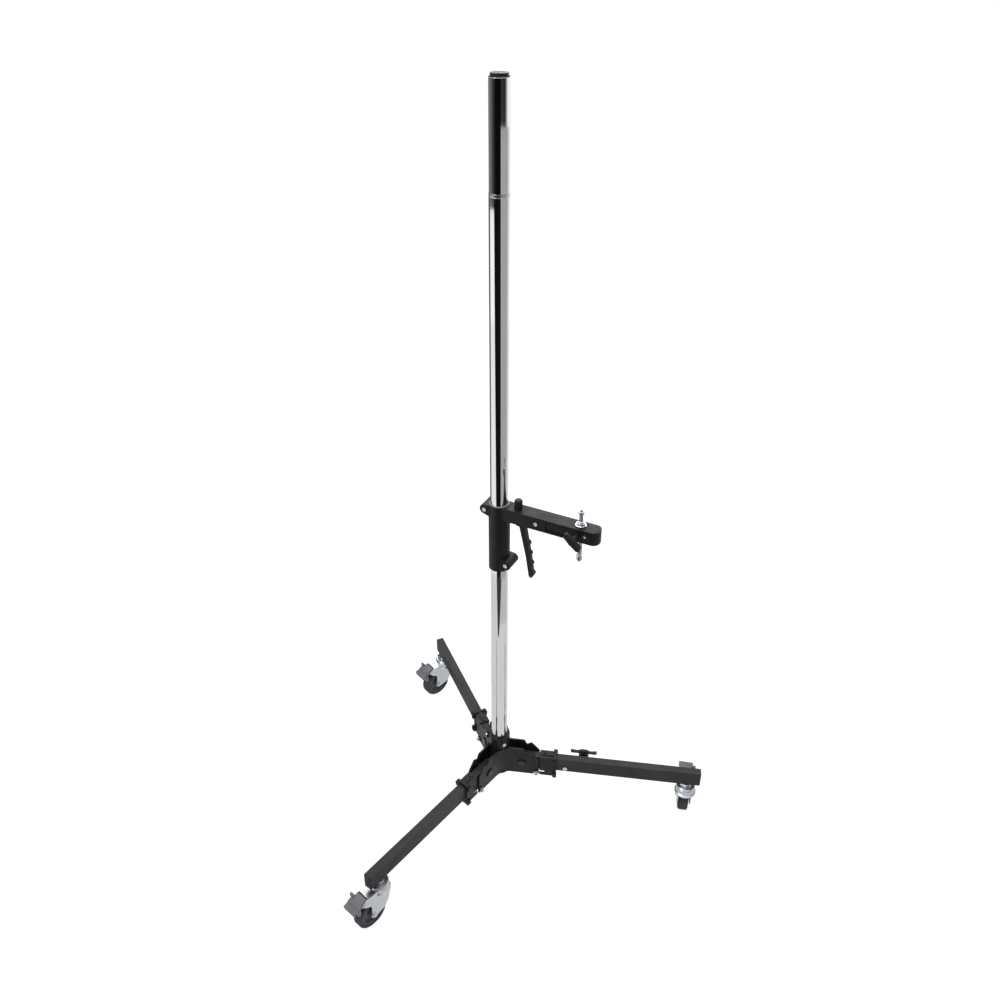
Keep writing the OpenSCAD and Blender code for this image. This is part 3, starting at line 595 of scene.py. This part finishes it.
class Jig(NodeSheet):
    """A Geometry Nodes tree with named inputs for its sizes."""

    def __init__(self, name: str) -> None:
        """Starts a tree that takes in and gives out geometry.

        Args:
            name: Name of the tree.
        """
        super().__init__(bpy.data.node_groups.new(name, "GeometryNodeTree"))
        for way in ("INPUT", "OUTPUT"):
            self.tree.interface.new_socket("Geometry", in_out=way,
                                           socket_type="NodeSocketGeometry")
        self.start = self.add("NodeGroupInput")
        self.end = self.add("NodeGroupOutput")
        self.keys: Dict[str, str] = {}
        self.finish: Optional[bpy.types.Material] = None

    def size(self, label: str, kind: str = "NodeSocketFloat") -> bpy.types.NodeSocket:
        """Adds a named input to the tree.

        Args:
            label: What the input sets.
            kind: Blender's socket type.

        Returns:
            The input's socket inside the tree.
        """
        item = self.tree.interface.new_socket(label, in_out="INPUT", socket_type=kind)
        self.keys[label] = item.identifier
        return self.start.outputs[label]

    def close(self, shape: bpy.types.Node) -> None:
        """Ends the tree with real geometry that has its finish.

        Args:
            shape: The tree's last geometry node.
        """
        real = self.add("GeometryNodeRealizeInstances", {"Geometry": shape.outputs[0]})
        coat = self.add("GeometryNodeSetMaterial", {
            "Geometry": real.outputs[0], "Material": self.size("Finish", "NodeSocketMaterial")})
        self.tree.links.new(coat.outputs[0], self.end.inputs[0])

    def run(self, blank: bpy.types.Mesh, sizes: Dict[str, object]) -> bmesh.types.BMesh:
        """Runs the tree on a blank and gives the result as plain geometry.

        Args:
            blank: Mesh that the tree starts from.
            sizes: Value of each named input but the finish.

        Returns:
            The result.
        """
        holder = in_scene("holder", blank)
        step = holder.modifiers.new("jig", "NODES")
        step.node_group = self.tree
        for label, value in {**sizes, "Finish": self.finish}.items():
            step[self.keys[label]] = value
        seen = holder.evaluated_get(bpy.context.evaluated_depsgraph_get())
        made = bpy.data.meshes.new_from_object(seen)
        bm = bmesh.new()
        bm.from_mesh(made)
        holder.modifiers.clear()
        bpy.data.objects.remove(holder)
        for used in (blank, made):
            bpy.data.meshes.remove(used)
        return bm


class TurningJig(Jig):
    """Turns a section round an axis, with its corners rounded."""

    CORNER_POINTS: ClassVar[int] = 3

    def __init__(self) -> None:
        """Builds the tree: section to curve, corners rounded, swept round a circle."""
        super().__init__("turning")
        section = self.add("GeometryNodeMeshToCurve", {0: self.start.outputs["Geometry"]})
        soft = self.add("GeometryNodeFilletCurve", {
            "Curve": section.outputs[0], "Count": self.size("Rounding Steps", "NodeSocketInt"),
            "Radius": self.size("Rounding"), "Limit Radius": True}, mode="POLY")
        path = self.add("GeometryNodeCurvePrimitiveCircle", {
            "Resolution": self.size("Steps", "NodeSocketInt"), "Radius": self.size("Path Radius")})
        self.close(self.add("GeometryNodeCurveToMesh", {
            "Curve": path.outputs[0], "Profile Curve": soft.outputs[0]}))

    def turn(self, section: Sequence[Point2], rounding: float, steps: int) -> bmesh.types.BMesh:
        """Turns a closed section that stays clear of the axis.

        Args:
            section: Radius and height of each corner in millimetres.
            rounding: Radius of the corners in millimetres.
            steps: Faces round the axis.

        Returns:
            The turned body, its axis along Z.
        """
        corners = len(section)
        mean = sum(radius for radius, _ in section) / corners
        # the sweep turns a section upside down, so its heights go in negated
        outline = bpy.data.meshes.new("section")
        outline.from_pydata([((radius - mean) * MM, -z * MM, 0.0) for radius, z in section],
                            [(k, (k + 1) % corners) for k in range(corners)], [])
        bm = self.run(outline, {
            "Rounding": rounding * MM, "Rounding Steps": self.CORNER_POINTS, "Steps": steps,
            "Path Radius": mean * MM})
        bmesh.ops.recalc_face_normals(bm, faces=bm.faces)
        return bm


class RowJig(Jig):
    """Repeats a piece along a line, round an axis, or both."""

    def __init__(self) -> None:
        """Builds the tree: points in a row, the piece set on each and turned by its number."""
        super().__init__("row")
        points = self.add("GeometryNodeMeshLine", {
            "Count": self.size("Count", "NodeSocketInt"),
            "Offset": self.size("Step", "NodeSocketVector")})
        number = self.add("GeometryNodeInputIndex")
        angle = self.add("ShaderNodeMath", {0: number.outputs[0], 1: self.size("Turn")},
                         operation="MULTIPLY")
        spin = self.add("ShaderNodeCombineXYZ", {"Z": angle.outputs[0]})
        self.close(self.add("GeometryNodeInstanceOnPoints", {
            "Points": points.outputs[0], "Instance": self.start.outputs["Geometry"],
            "Rotation": spin.outputs[0]}))

    def repeat(self, bm: bmesh.types.BMesh, count: int, step: Point3 = (0.0, 0.0, 0.0),
               turn_deg: float = 0.0) -> bmesh.types.BMesh:
        """Repeats a piece.

        Args:
            bm: The piece, which is freed.
            count: How many there are.
            step: From one to the next, in millimetres.
            turn_deg: Turn about Z from one to the next, in degrees.

        Returns:
            All of them.
        """
        return self.run(as_mesh("one", bm), {
            "Count": count, "Step": [v * MM for v in step], "Turn": math.radians(turn_deg)})


class ThreadJig(Jig):
    """Winds a thread's ridge round a bolt."""

    POINTS_A_TURN: ClassVar[int] = 28
    PITCH: ClassVar[float] = 1.5
    RIDGE_SHARE: ClassVar[float] = 0.32

    def __init__(self) -> None:
        """Builds the tree: a rising spiral with a small three-sided section."""
        super().__init__("thread")
        radius = self.size("Radius")
        path = self.add("GeometryNodeCurveSpiral", {
            "Resolution": self.POINTS_A_TURN, "Rotations": self.size("Turns"),
            "Start Radius": radius, "End Radius": radius, "Height": self.size("Height")})
        ridge = self.add("GeometryNodeCurvePrimitiveCircle", {
            "Resolution": 3, "Radius": self.size("Ridge")})
        self.close(self.add("GeometryNodeCurveToMesh", {
            "Curve": path.outputs[0], "Profile Curve": ridge.outputs[0], "Fill Caps": True}))

    def wind(self, radius: float, low: float, high: float) -> bmesh.types.BMesh:
        """Winds a thread.

        Args:
            radius: Outside radius in millimetres.
            low: Height of its start in millimetres.
            high: Height of its end in millimetres.

        Returns:
            The ridge, its axis along Z.
        """
        ridge = self.RIDGE_SHARE * self.PITCH
        bm = self.run(bpy.data.meshes.new("none"), {
            "Radius": (radius - ridge) * MM, "Turns": (high - low) / self.PITCH,
            "Height": (high - low) * MM, "Ridge": ridge * MM})
        bmesh.ops.translate(bm, verts=bm.verts, vec=(0.0, 0.0, low * MM))
        bmesh.ops.recalc_face_normals(bm, faces=bm.faces)
        return bm


# sub-assemblies


@dataclass
class Bench:
    """What every sub-assembly works with: the shop and its three jigs."""

    shop: Shop
    turning: TurningJig = field(default_factory=TurningJig)
    row: RowJig = field(default_factory=RowJig)
    thread: ThreadJig = field(default_factory=ThreadJig)

    def load(self, jig: Jig, finish: str) -> None:
        """Loads a jig with the finish that it gives its work."""
        jig.finish = self.shop.finishes.materials[finish]

    def turned(self, node: str, section: Sequence[Point2], rounding: float, place: Matrix,
               steps: int = 96) -> None:
        """Stands in for a solid with one that is turned from a section.

        Args:
            node: Name of the solid.
            section: Radius and height of each corner in millimetres.
            rounding: Radius of the corners in millimetres.
            place: The placing matrix.
            steps: Faces round the axis.
        """
        self.load(self.turning, self.shop.finishes.of_node[node])
        bm = self.turning.turn(section, rounding, steps)
        self.shop.mark_corners(bm)
        bm.transform(place)
        self.shop.stand_in(node, bm)

    def rounded(self, widths: Dict[str, float], ending: str = "", segments: int = 2) -> None:
        """Stands in for several solids with the same solids, their edges rounded.

        Args:
            widths: Name of each solid, and the width of its rounding in millimetres.
            ending: Ending of all the names.
            segments: Rows of faces on the rounding.
        """
        for node, width in widths.items():
            self.shop.rounded_node(node + ending, width, segments)


@dataclass
class Column:
    """The chromed column: two tubes, the bright ring between them and the top plug.

    Heights are above the floor. The plug's flange is given from the tube's top outer edge, its
    waist and crown from the same height at the waist's radius.
    """

    FLANGE: ClassVar[Outline] = ((-1.0, 0.0), (-1.0, 1.6), (-1.4, 2.0))
    WAIST: ClassVar[Outline] = ((0.3, 2.0), (0.0, 2.6), (0.0, 6.2))
    CROWN: ClassVar[Outline] = (
        (0.8, 6.8), (1.0, 7.6), (0.5, 8.4), (-2.0, 8.9), (-5.0, 9.0))

    bench: Bench
    od: float = 50.0
    wall: float = 2.0
    foot: float = 142.5
    top: float = 2225.5
    upper_length: float = 246.0
    ring_h: float = 8.0
    ring_edge: float = 0.6
    tube_edge: float = 0.5
    tube_steps: int = 160
    plug_od: float = 41.0
    plug_steps: int = 96
    skirt_wall: float = 3.0
    skirt_depth: float = 30.0
    skirt_play: float = 0.05

    def build(self) -> None:
        """Makes the column's pieces."""
        outer, inner = self.od / 2, self.od / 2 - self.wall
        seam = self.top - self.upper_length
        place = upright_at(middle("column_upper_tube"))
        for node, low, high in (("column_lower_tube", self.foot, seam - self.ring_h / 2),
                                ("column_upper_tube", seam + self.ring_h / 2, self.top)):
            section = [(inner, low), (outer, low), (outer, high), (inner, high)]
            self.bench.turned(node, section, self.tube_edge, place, self.tube_steps)
        shop = self.bench.shop
        shop.rounded_node("column_joint_ring", self.ring_edge)
        plug = shop.lathe(self.plug_profile(), place, self.plug_steps)
        shop.stand_in("column_top_plug", plug)

    def plug_profile(self) -> List[Point2]:
        """Outline of the top plug: skirt in the tube, flange on it, waist and lipped crown.

        Returns:
            Radius and height of each corner, from axis to axis.
        """
        bore, top = self.od / 2 - self.wall, self.top
        hollow, fit = bore - self.skirt_wall, bore - self.skirt_play
        roof, end = top - self.skirt_wall, top - self.skirt_depth
        skirt = [(0.0, roof), (hollow, roof), (hollow, end), (fit, end), (fit, top)]
        flange = outline_from((self.od / 2, top), self.FLANGE)
        crown = outline_from((self.plug_od / 2, top), self.WAIST + self.CROWN)
        return skirt + flange + crown + [(0.0, crown[-1][1])]


@dataclass
class Hub:
    """The hub casting with its pins, latch bolts and socket screws."""

    bench: Bench
    casting_edge: float = 1.6
    fitting_edge: float = 0.5

    def build(self) -> None:
        """Makes the hub's pieces."""
        self.bench.rounded({"hub_casting": self.casting_edge}, segments=3)
        fittings = ("leg_hinge_pins", "latch_bolts", "column_socket_screws")
        self.bench.rounded(dict.fromkeys(fittings, self.fitting_edge))


@dataclass
class FoldingLeg:
    """One leg with its collar, end cap and, on the right, its sliding outer section."""

    bench: Bench
    leg: Leg
    tube_edge: float = 1.4
    bush_edge: float = 0.5
    cap_edge: float = 1.0
    collar_edge: float = 1.3
    tongue_edge: float = 0.8
    knob_edge: float = 1.6
    screw_edge: float = 0.4

    def build(self) -> None:
        """Makes the leg's pieces."""
        ending = f"_{self.leg.value}"
        self.bench.rounded({"leg_tube": self.tube_edge}, ending, 3)
        self.bench.rounded({"leg_pivot_bush": self.bush_edge, "leg_end_cap": self.cap_edge,
                            "lock_collar": self.collar_edge}, ending)
        if self.leg is Leg.RIGHT:
            shop = self.bench.shop
            shop.rounded_node("right_leg_extension", self.tube_edge, 3)
            shop.rounded_node("extension_tongue", self.tongue_edge)
            shop.rounded_node("extension_clamp_knob", self.knob_edge, 3)
            shop.rounded_node("extension_tongue_screw", self.screw_edge)


@dataclass(frozen=True)
class Tread:
    """One grip face of a brake pedal.

    Attributes:
        x: Distance of its first rib from the swivel axis.
        z: Height of that rib above the floor.
        slope: Fall of the face for each millimetre outwards.
        ribs: Number of ribs.
    """

    x: float
    z: float
    slope: float
    ribs: int


@dataclass
class Caster:
    """A braked swivel caster under one leg.

    Heights are above the floor. A cut is given as steps from the sharp corner that it takes off,
    the wheel's disc as radius and half width, the tyre's shoulder as steps from the tread's sharp
    edge, and its groove as steps from the tread's middle.
    """

    EDGES: ClassVar[Dict[str, float]] = {
        "caster_stem": 0.5, "caster_fork": 0.8, "caster_axle": 0.5, "brake_pedal": 1.3}
    TREADS: ClassVar[Tuple[Tread, ...]] = (
        Tread(87.5, 135.9, 0.25, 3), Tread(102.0, 127.65, 0.2857, 4))
    RACE_LOW_CUT: ClassVar[Outline] = ((-0.4, 0.0), (0.0, 0.8))
    RACE_TOP_CUT: ClassVar[Outline] = ((0.0, -2.4), (-2.6, 0.0))
    BOSS_CUT: ClassVar[Outline] = ((0.0, 0.0), (1.4, -1.2))
    DISC: ClassVar[Outline] = (
        (14.6, 5.4), (21.5, 4.8), (22.6, 6.6), (26.2, 6.4), (27.4, 4.5))
    SHOULDER: ClassVar[Outline] = ((-5.2, 0.0), (-4.4, -0.7), (-1.6, -1.9), (0.0, -5.5))
    GROOVE: ClassVar[Outline] = ((0.0, 0.6), (-0.35, 0.0))

    bench: Bench
    leg: Leg
    wheel_d: float = 102.0
    tyre_w: float = 32.0
    tyre_edge: float = 0.8
    tyre_steps: int = 120
    core_d: float = 76.0
    core_edge: float = 0.7
    core_inset: float = 3.0
    core_play: float = 0.05
    bead_h: float = 2.6
    axle_bore: float = 4.1
    hub_half: float = 18.7
    boss_r: float = 11.0
    well_r: float = 14.0
    well_step: float = 1.0
    disc_half: float = 4.2
    band_foot: float = 5.4
    band_t: float = 4.2
    race_r: float = 30.0
    race_bore: float = 6.3
    race_low: float = 137.5
    race_top: float = 145.0
    race_rim: float = 5.0
    race_depth: float = 3.5
    race_edge: float = 0.5
    rib: Point3 = (1.5, 39.0, 1.4)
    rib_pitch: float = 3.0
    rib_edge: float = 0.45

    def build(self) -> None:
        """Makes the caster's pieces."""
        tag = self.leg.value
        self.bench.rounded(self.EDGES, f"_{tag}")
        swivel, wheel = middle(f"caster_top_race_{tag}"), middle(f"tyre_{tag}")
        heading = math.atan2(wheel.y - swivel.y, wheel.x - swivel.x)
        self.race(swivel)
        self.wheel(across_at(wheel, heading))
        self.pedal_ribs(upright_at(swivel) @ Matrix.Rotation(heading, 4, "Z"))

    def race(self, swivel: Vector) -> None:
        """Turns the swivel bearing's fixed ring.

        Args:
            swivel: Point on the swivel axis.
        """
        bore, rim, low, top = self.race_bore, self.race_r, self.race_low, self.race_top
        hollow, roof = rim - self.race_rim, low + self.race_depth
        section = [(bore, roof), (hollow, roof), (hollow, low),
                   *outline_from((rim, low), self.RACE_LOW_CUT),
                   *outline_from((rim, top), self.RACE_TOP_CUT), (bore, top)]
        self.bench.turned(f"caster_top_race_{self.leg.value}", section, self.race_edge,
                          upright_at(swivel))

    def wheel(self, place: Matrix) -> None:
        """Turns the wheel's core and its tyre.

        Args:
            place: The wheel's placing matrix.
        """
        hub, core, rim = self.hub_half, self.core_d / 2, self.tyre_w / 2 - self.core_inset
        side = [(self.axle_bore, hub), *outline_from((self.boss_r, hub), self.BOSS_CUT),
                (self.well_r, rim - self.well_step), *self.DISC,
                (core - self.band_foot, self.disc_half), (core - self.band_t, rim), (core, rim)]
        self.bench.turned(f"wheel_core_{self.leg.value}", self.both_sides(side),
                          self.core_edge, place)
        half, tread, seat = self.tyre_w / 2, self.wheel_d / 2, core + self.core_play
        side = [(seat, half - self.bead_h), (core + self.bead_h, half),
                *outline_from((tread, half), self.SHOULDER),
                *outline_from((tread, 0.0), self.GROOVE)]
        self.bench.turned(f"tyre_{self.leg.value}", self.both_sides(side),
                          self.tyre_edge, place, self.tyre_steps)

    @staticmethod
    def both_sides(side: List[Point2]) -> List[Point2]:
        """Adds the mirrored far side to a section's near side, given from the axis outwards."""
        return side + [(radius, -z) for radius, z in reversed(side) if z > 0.0]

    def pedal_ribs(self, place: Matrix) -> None:
        """Lays the grip ribs on the pedal's treads.

        Args:
            place: The caster's placing matrix.
        """
        shop, rows = self.bench.shop, []
        self.bench.load(self.bench.row, "pedal_plastic")
        for tread in self.TREADS:
            bm = shop.block(self.rib, self.rib_edge, 2)
            bm.transform(Matrix.Translation((tread.x * MM, 0.0, tread.z * MM))
                         @ Matrix.Rotation(math.atan(tread.slope), 4, "Y"))
            step = (self.rib_pitch, 0.0, -self.rib_pitch * tread.slope)
            rows.append(self.bench.row.repeat(bm, tread.ribs, step))
        bm = shop.joined(rows)
        bm.transform(place)
        tag = self.leg.value
        shop.seat(shop.from_bmesh(f"pedal_ribs_{tag}", bm), f"pedal_{tag}", "pedal_plastic")


@dataclass
class Arm:
    """The sliding arm with its rollers, brake and stud.

    The threads' ends are measured from the arm's top and bottom.
    """

    EDGES: ClassVar[Dict[str, float]] = {
        "arm_glide_liners": 0.5, "arm_casting": 1.8, "arm_sleeve": 1.2,
        "upper_rear_roller": 0.6, "lower_front_roller": 0.6, "arm_bolts": 0.5,
        "brake_lever": 2.0, "brake_shoe": 0.4, "brake_spring": 0.3, "brake_adjuster_knob": 0.8,
        "spigot": 0.4, "spigot_nut": 0.6, "spigot_lock_knob": 1.8}

    bench: Bench
    bottom: float = 1114.5
    height: float = 39.0
    stud_tip: float = 5.0
    upper_thread: Point2 = (44.8, 50.0)
    lower_thread: Point2 = (-73.2, -70.4)
    knob_r: float = 9.05
    crown: float = 25.4
    ridge: Point3 = (0.9, 0.8, 2.4)
    ridge_edge: float = 0.2
    ridges: int = 30

    def build(self) -> None:
        """Makes the arm's pieces."""
        self.bench.rounded(self.EDGES)
        self.stud_threads()
        self.knob_grip()

    def stud_threads(self) -> None:
        """Winds the threads on the stud's two tips."""
        shop, ends = self.bench.shop, []
        self.bench.load(self.bench.thread, "zinc")
        for level, (low, high) in ((self.bottom + self.height, self.upper_thread),
                                   (self.bottom, self.lower_thread)):
            ends.append(self.bench.thread.wind(self.stud_tip, level + low, level + high))
        bm = shop.joined(ends)
        bm.transform(upright_at(middle("spigot")))
        shop.seat(shop.from_bmesh("stud_threads", bm), "stud", "zinc")

    def knob_grip(self) -> None:
        """Sets the fine ridges round the adjuster knob's crown."""
        shop, level = self.bench.shop, self.bottom + self.height + self.crown
        bm = shop.block(self.ridge, self.ridge_edge, 1)
        bm.transform(Matrix.Translation((self.knob_r * MM, 0.0, level * MM)))
        self.bench.load(self.bench.row, "black_plastic")
        ring = self.bench.row.repeat(bm, self.ridges, turn_deg=360.0 / self.ridges)
        ring.transform(upright_at(middle("brake_adjuster_knob")))
        shop.seat(shop.from_bmesh("adjuster_grip", ring), "adjuster", "black_plastic")


# studio


@dataclass(frozen=True)
class Lamp:
    """A soft box.

    Attributes:
        place: Where it hangs: right of the column, away from the camera, up from the floor.
        size: Width and height.
        in_metal: True if polished metal shows it.
    """

    name: str
    place: Point3
    size: Point2
    watts: float
    in_metal: bool = True


@dataclass(frozen=True)
class Card:
    """A reflection card: part of a cone round the column that only polished metal sees.

    Attributes:
        turn: Its two ends in degrees round the column, 0 towards the camera, right is positive.
        foot: Radius and height of its lower edge.
        head: Radius and height of its upper edge.
        level: How bright it is, where 1 is white.
        foot_turn: The ends of its lower edge, where they aren't the upper edge's.
    """

    name: str
    turn: Point2
    foot: Point2
    head: Point2
    level: float
    foot_turn: Optional[Point2] = None


# lower and upper edge that several cards share
WALL = ((4.0, 0.96), (4.0, 3.4))
RIGHT_WALL = ((4.0, 1.46), (4.0, 3.4))
RIGHT_SLANT = ((1.25, 0.012), (3.0, 1.63))


@dataclass
class Studio:
    """Floor, backdrop light, lamps, reflection cards and the camera."""

    LAMPS: ClassVar[Tuple[Lamp, ...]] = (
        Lamp("key", (-2.2, -1.6, 3.4), (1.6, 2.2), 36.0),
        Lamp("fill", (2.8, -1.2, 2.2), (1.4, 2.4), 20.0, in_metal=False),
        Lamp("top", (0.0, 0.4, 4.2), (2.5, 2.5), 34.0),
        Lamp("back", (0.5, 3.2, 3.3), (3.2, 1.6), 48.0),
    )
    CARDS: ClassVar[Tuple[Card, ...]] = (
        Card("tripod_foot", (-35.0, 26.0), (0.86, 0.01), (0.928, 0.254), 0.045, (-20.0, -6.0)),
        Card("tripod_shade", (-58.0, 14.0), (0.928, 0.254), (1.62, 1.58), 0.006, (-33.0, 18.0)),
        Card("back_shade", (-44.0, 17.0), *WALL, 0.004),
        Card("left_wall_1", (-56.0, -44.0), *WALL, 0.015),
        Card("left_wall_2", (-70.0, -56.0), *WALL, 0.034),
        Card("left_wall_3", (-85.0, -70.0), *WALL, 0.07),
        Card("left_wall_4", (-105.0, -85.0), *WALL, 0.13),
        Card("left_wall_5", (-150.0, -105.0), *WALL, 0.20),
        Card("left_line", (-174.0, -117.0), (1.7, 0.01), (3.25, 1.23), 0.11),
        Card("right_wall", (14.0, 98.0), *RIGHT_SLANT, 0.40),
        Card("right_rim", (98.0, 125.0), *RIGHT_SLANT, 0.72),
        Card("right_floor", (-6.0, 110.0), (0.94, 0.008), (1.25, 0.012), 0.56),
        Card("right_top_1", (14.0, 42.0), *RIGHT_WALL, 0.035),
        Card("right_top_2", (42.0, 60.0), *RIGHT_WALL, 0.02),
        Card("right_top_3", (60.0, 74.0), *RIGHT_WALL, 0.12),
        Card("right_top_4", (74.0, 88.0), *RIGHT_WALL, 0.45),
        Card("near_mat", (-180.0, 180.0), (0.30, 0.004), (1.30, 0.004), 0.70),
        Card("far_mat", (-180.0, 180.0), (1.30, 0.003), (4.50, 0.003), 0.92),
    )

    heading_deg: float = 8.17
    pitch_deg: float = 31.36
    distance: float = 2.1727
    height: float = 2.4874
    lens: float = 33.48
    sensor: float = 36.0
    shift: float = 0.00064
    view_depth: float = 200.0
    world_light: float = 0.60
    floor_half: float = 30.0
    floor_drop: float = 0.0005
    floor_grey: float = 0.86
    floor_glow: float = 1.2
    glow_share: float = 0.72
    lamp_aim: float = 0.8
    card_step_deg: float = 8.0

    def spot(self, right: float, away: float, up: float) -> Vector:
        """Turns a point given from the column as the camera sees it to the stand's frame.

        Args:
            right: Distance to the right of the column.
            away: Distance away from the camera.
            up: Height above the floor.

        Returns:
            The point in the stand's frame.
        """
        turn = Matrix.Rotation(math.radians(self.heading_deg), 3, "Z")
        foot = middle("column_upper_tube")
        return Vector((foot.x, foot.y, 0.0)) + turn @ Vector((right, away, up))

    def camera(self) -> None:
        """Stands the camera where the photograph was taken from."""
        data = bpy.data.cameras.new("camera")
        data.lens, data.sensor_width, data.shift_x = self.lens, self.sensor, self.shift
        data.clip_end = self.view_depth
        camera = in_scene("camera", data)
        turn, tilt = math.radians(self.heading_deg), math.radians(self.pitch_deg)
        look = Vector((-math.sin(turn) * math.cos(tilt), math.cos(turn) * math.cos(tilt),
                       -math.sin(tilt)))
        camera.location = self.spot(0.0, -self.distance, self.height)
        camera.rotation_euler = look.to_track_quat("-Z", "Y").to_euler()
        bpy.context.scene.camera = camera

    def world(self) -> None:
        """Gives an even pale surround that metal sees as white."""
        world = bpy.data.worlds.new("surround")
        bpy.context.scene.world = world
        sheet = ShaderSheet(world, "ShaderNodeOutputWorld")
        level = sheet.ramp(sheet.looked_at(), 0.0, 1.0, self.world_light, 1.0)
        sheet.close(sheet.add("ShaderNodeBackground", {"Color": WHITE, "Strength": level}))

    def floor(self) -> None:
        """Lays a wide pale floor that keeps a soft shadow."""
        bm = bmesh.new()
        bmesh.ops.create_grid(bm, x_segments=1, y_segments=1, size=self.floor_half)
        floor = in_scene("floor", as_mesh("floor", bm))
        floor.location.z = -self.floor_drop
        material = bpy.data.materials.new("pale_floor")
        sheet = ShaderSheet(material)
        share = sheet.ramp(sheet.looked_at(), 0.0, 1.0, 0.0, self.glow_share)
        paper = sheet.add("ShaderNodeBsdfDiffuse", {"Color": (*[self.floor_grey] * 3, 1.0)})
        white = sheet.add("ShaderNodeEmission", {"Color": WHITE, "Strength": self.floor_glow})
        sheet.close(sheet.add("ShaderNodeMixShader", {
            0: share, 1: paper.outputs[0], 2: white.outputs[0]}))
        floor.data.materials.append(material)

    def hang(self, lamp: Lamp) -> None:
        """Hangs a soft box that is turned to the stand.

        Args:
            lamp: The soft box.
        """
        data = bpy.data.lights.new(lamp.name, "AREA")
        data.shape, data.energy = "RECTANGLE", lamp.watts
        data.size, data.size_y = lamp.size
        box = in_scene(lamp.name, data)
        box.location = self.spot(*lamp.place)
        aim = self.spot(0.0, 0.0, self.lamp_aim) - box.location
        box.rotation_euler = aim.to_track_quat("-Z", "Y").to_euler()
        box.visible_glossy = lamp.in_metal

    def stand_card(self, card: Card) -> None:
        """Stands one reflection card.

        Args:
            card: The card.
        """
        steps = max(1, round((card.turn[1] - card.turn[0]) / self.card_step_deg))
        edges = ((card.foot, card.foot_turn or card.turn), (card.head, card.turn))
        bm = bmesh.new()
        columns = []
        for k in range(steps + 1):
            column = []
            for (radius, height), (first, last) in edges:
                a = math.radians(first + (last - first) * k / steps)
                corner = self.spot(radius * math.sin(a), -radius * math.cos(a), height)
                column.append(bm.verts.new(corner))
            columns.append(column)
        for left, right in zip(columns, columns[1:]):
            bm.faces.new((left[0], right[0], right[1], left[1]))
        panel = in_scene(card.name, as_mesh(card.name, bm))
        for flag in ("camera", "diffuse", "shadow", "transmission"):
            setattr(panel, f"visible_{flag}", False)
        material = bpy.data.materials.new(card.name)
        sheet = ShaderSheet(material)
        sheet.close(sheet.add("ShaderNodeEmission", {"Color": (*[card.level] * 3, 1.0)}))
        panel.data.materials.append(material)

    def build(self) -> None:
        """Sets up the whole studio."""
        self.camera()
        self.world()
        self.floor()
        for lamp in self.LAMPS:
            self.hang(lamp)
        for card in self.CARDS:
            self.stand_card(card)
        bpy.context.scene.view_settings.view_transform = "Standard"


def main() -> None:
    logging.basicConfig(level=logging.INFO, format="%(name)s: %(message)s")
    Studio().build()
    bench = Bench(Shop(Finishes()))
    Column(bench).build()
    Hub(bench).build()
    for leg in Leg:
        FoldingLeg(bench, leg).build()
        Caster(bench, leg).build()
    Arm(bench).build()
    LOG.info("%d pieces made", len(bench.shop.made))


if __name__ == "__main__":
    main()
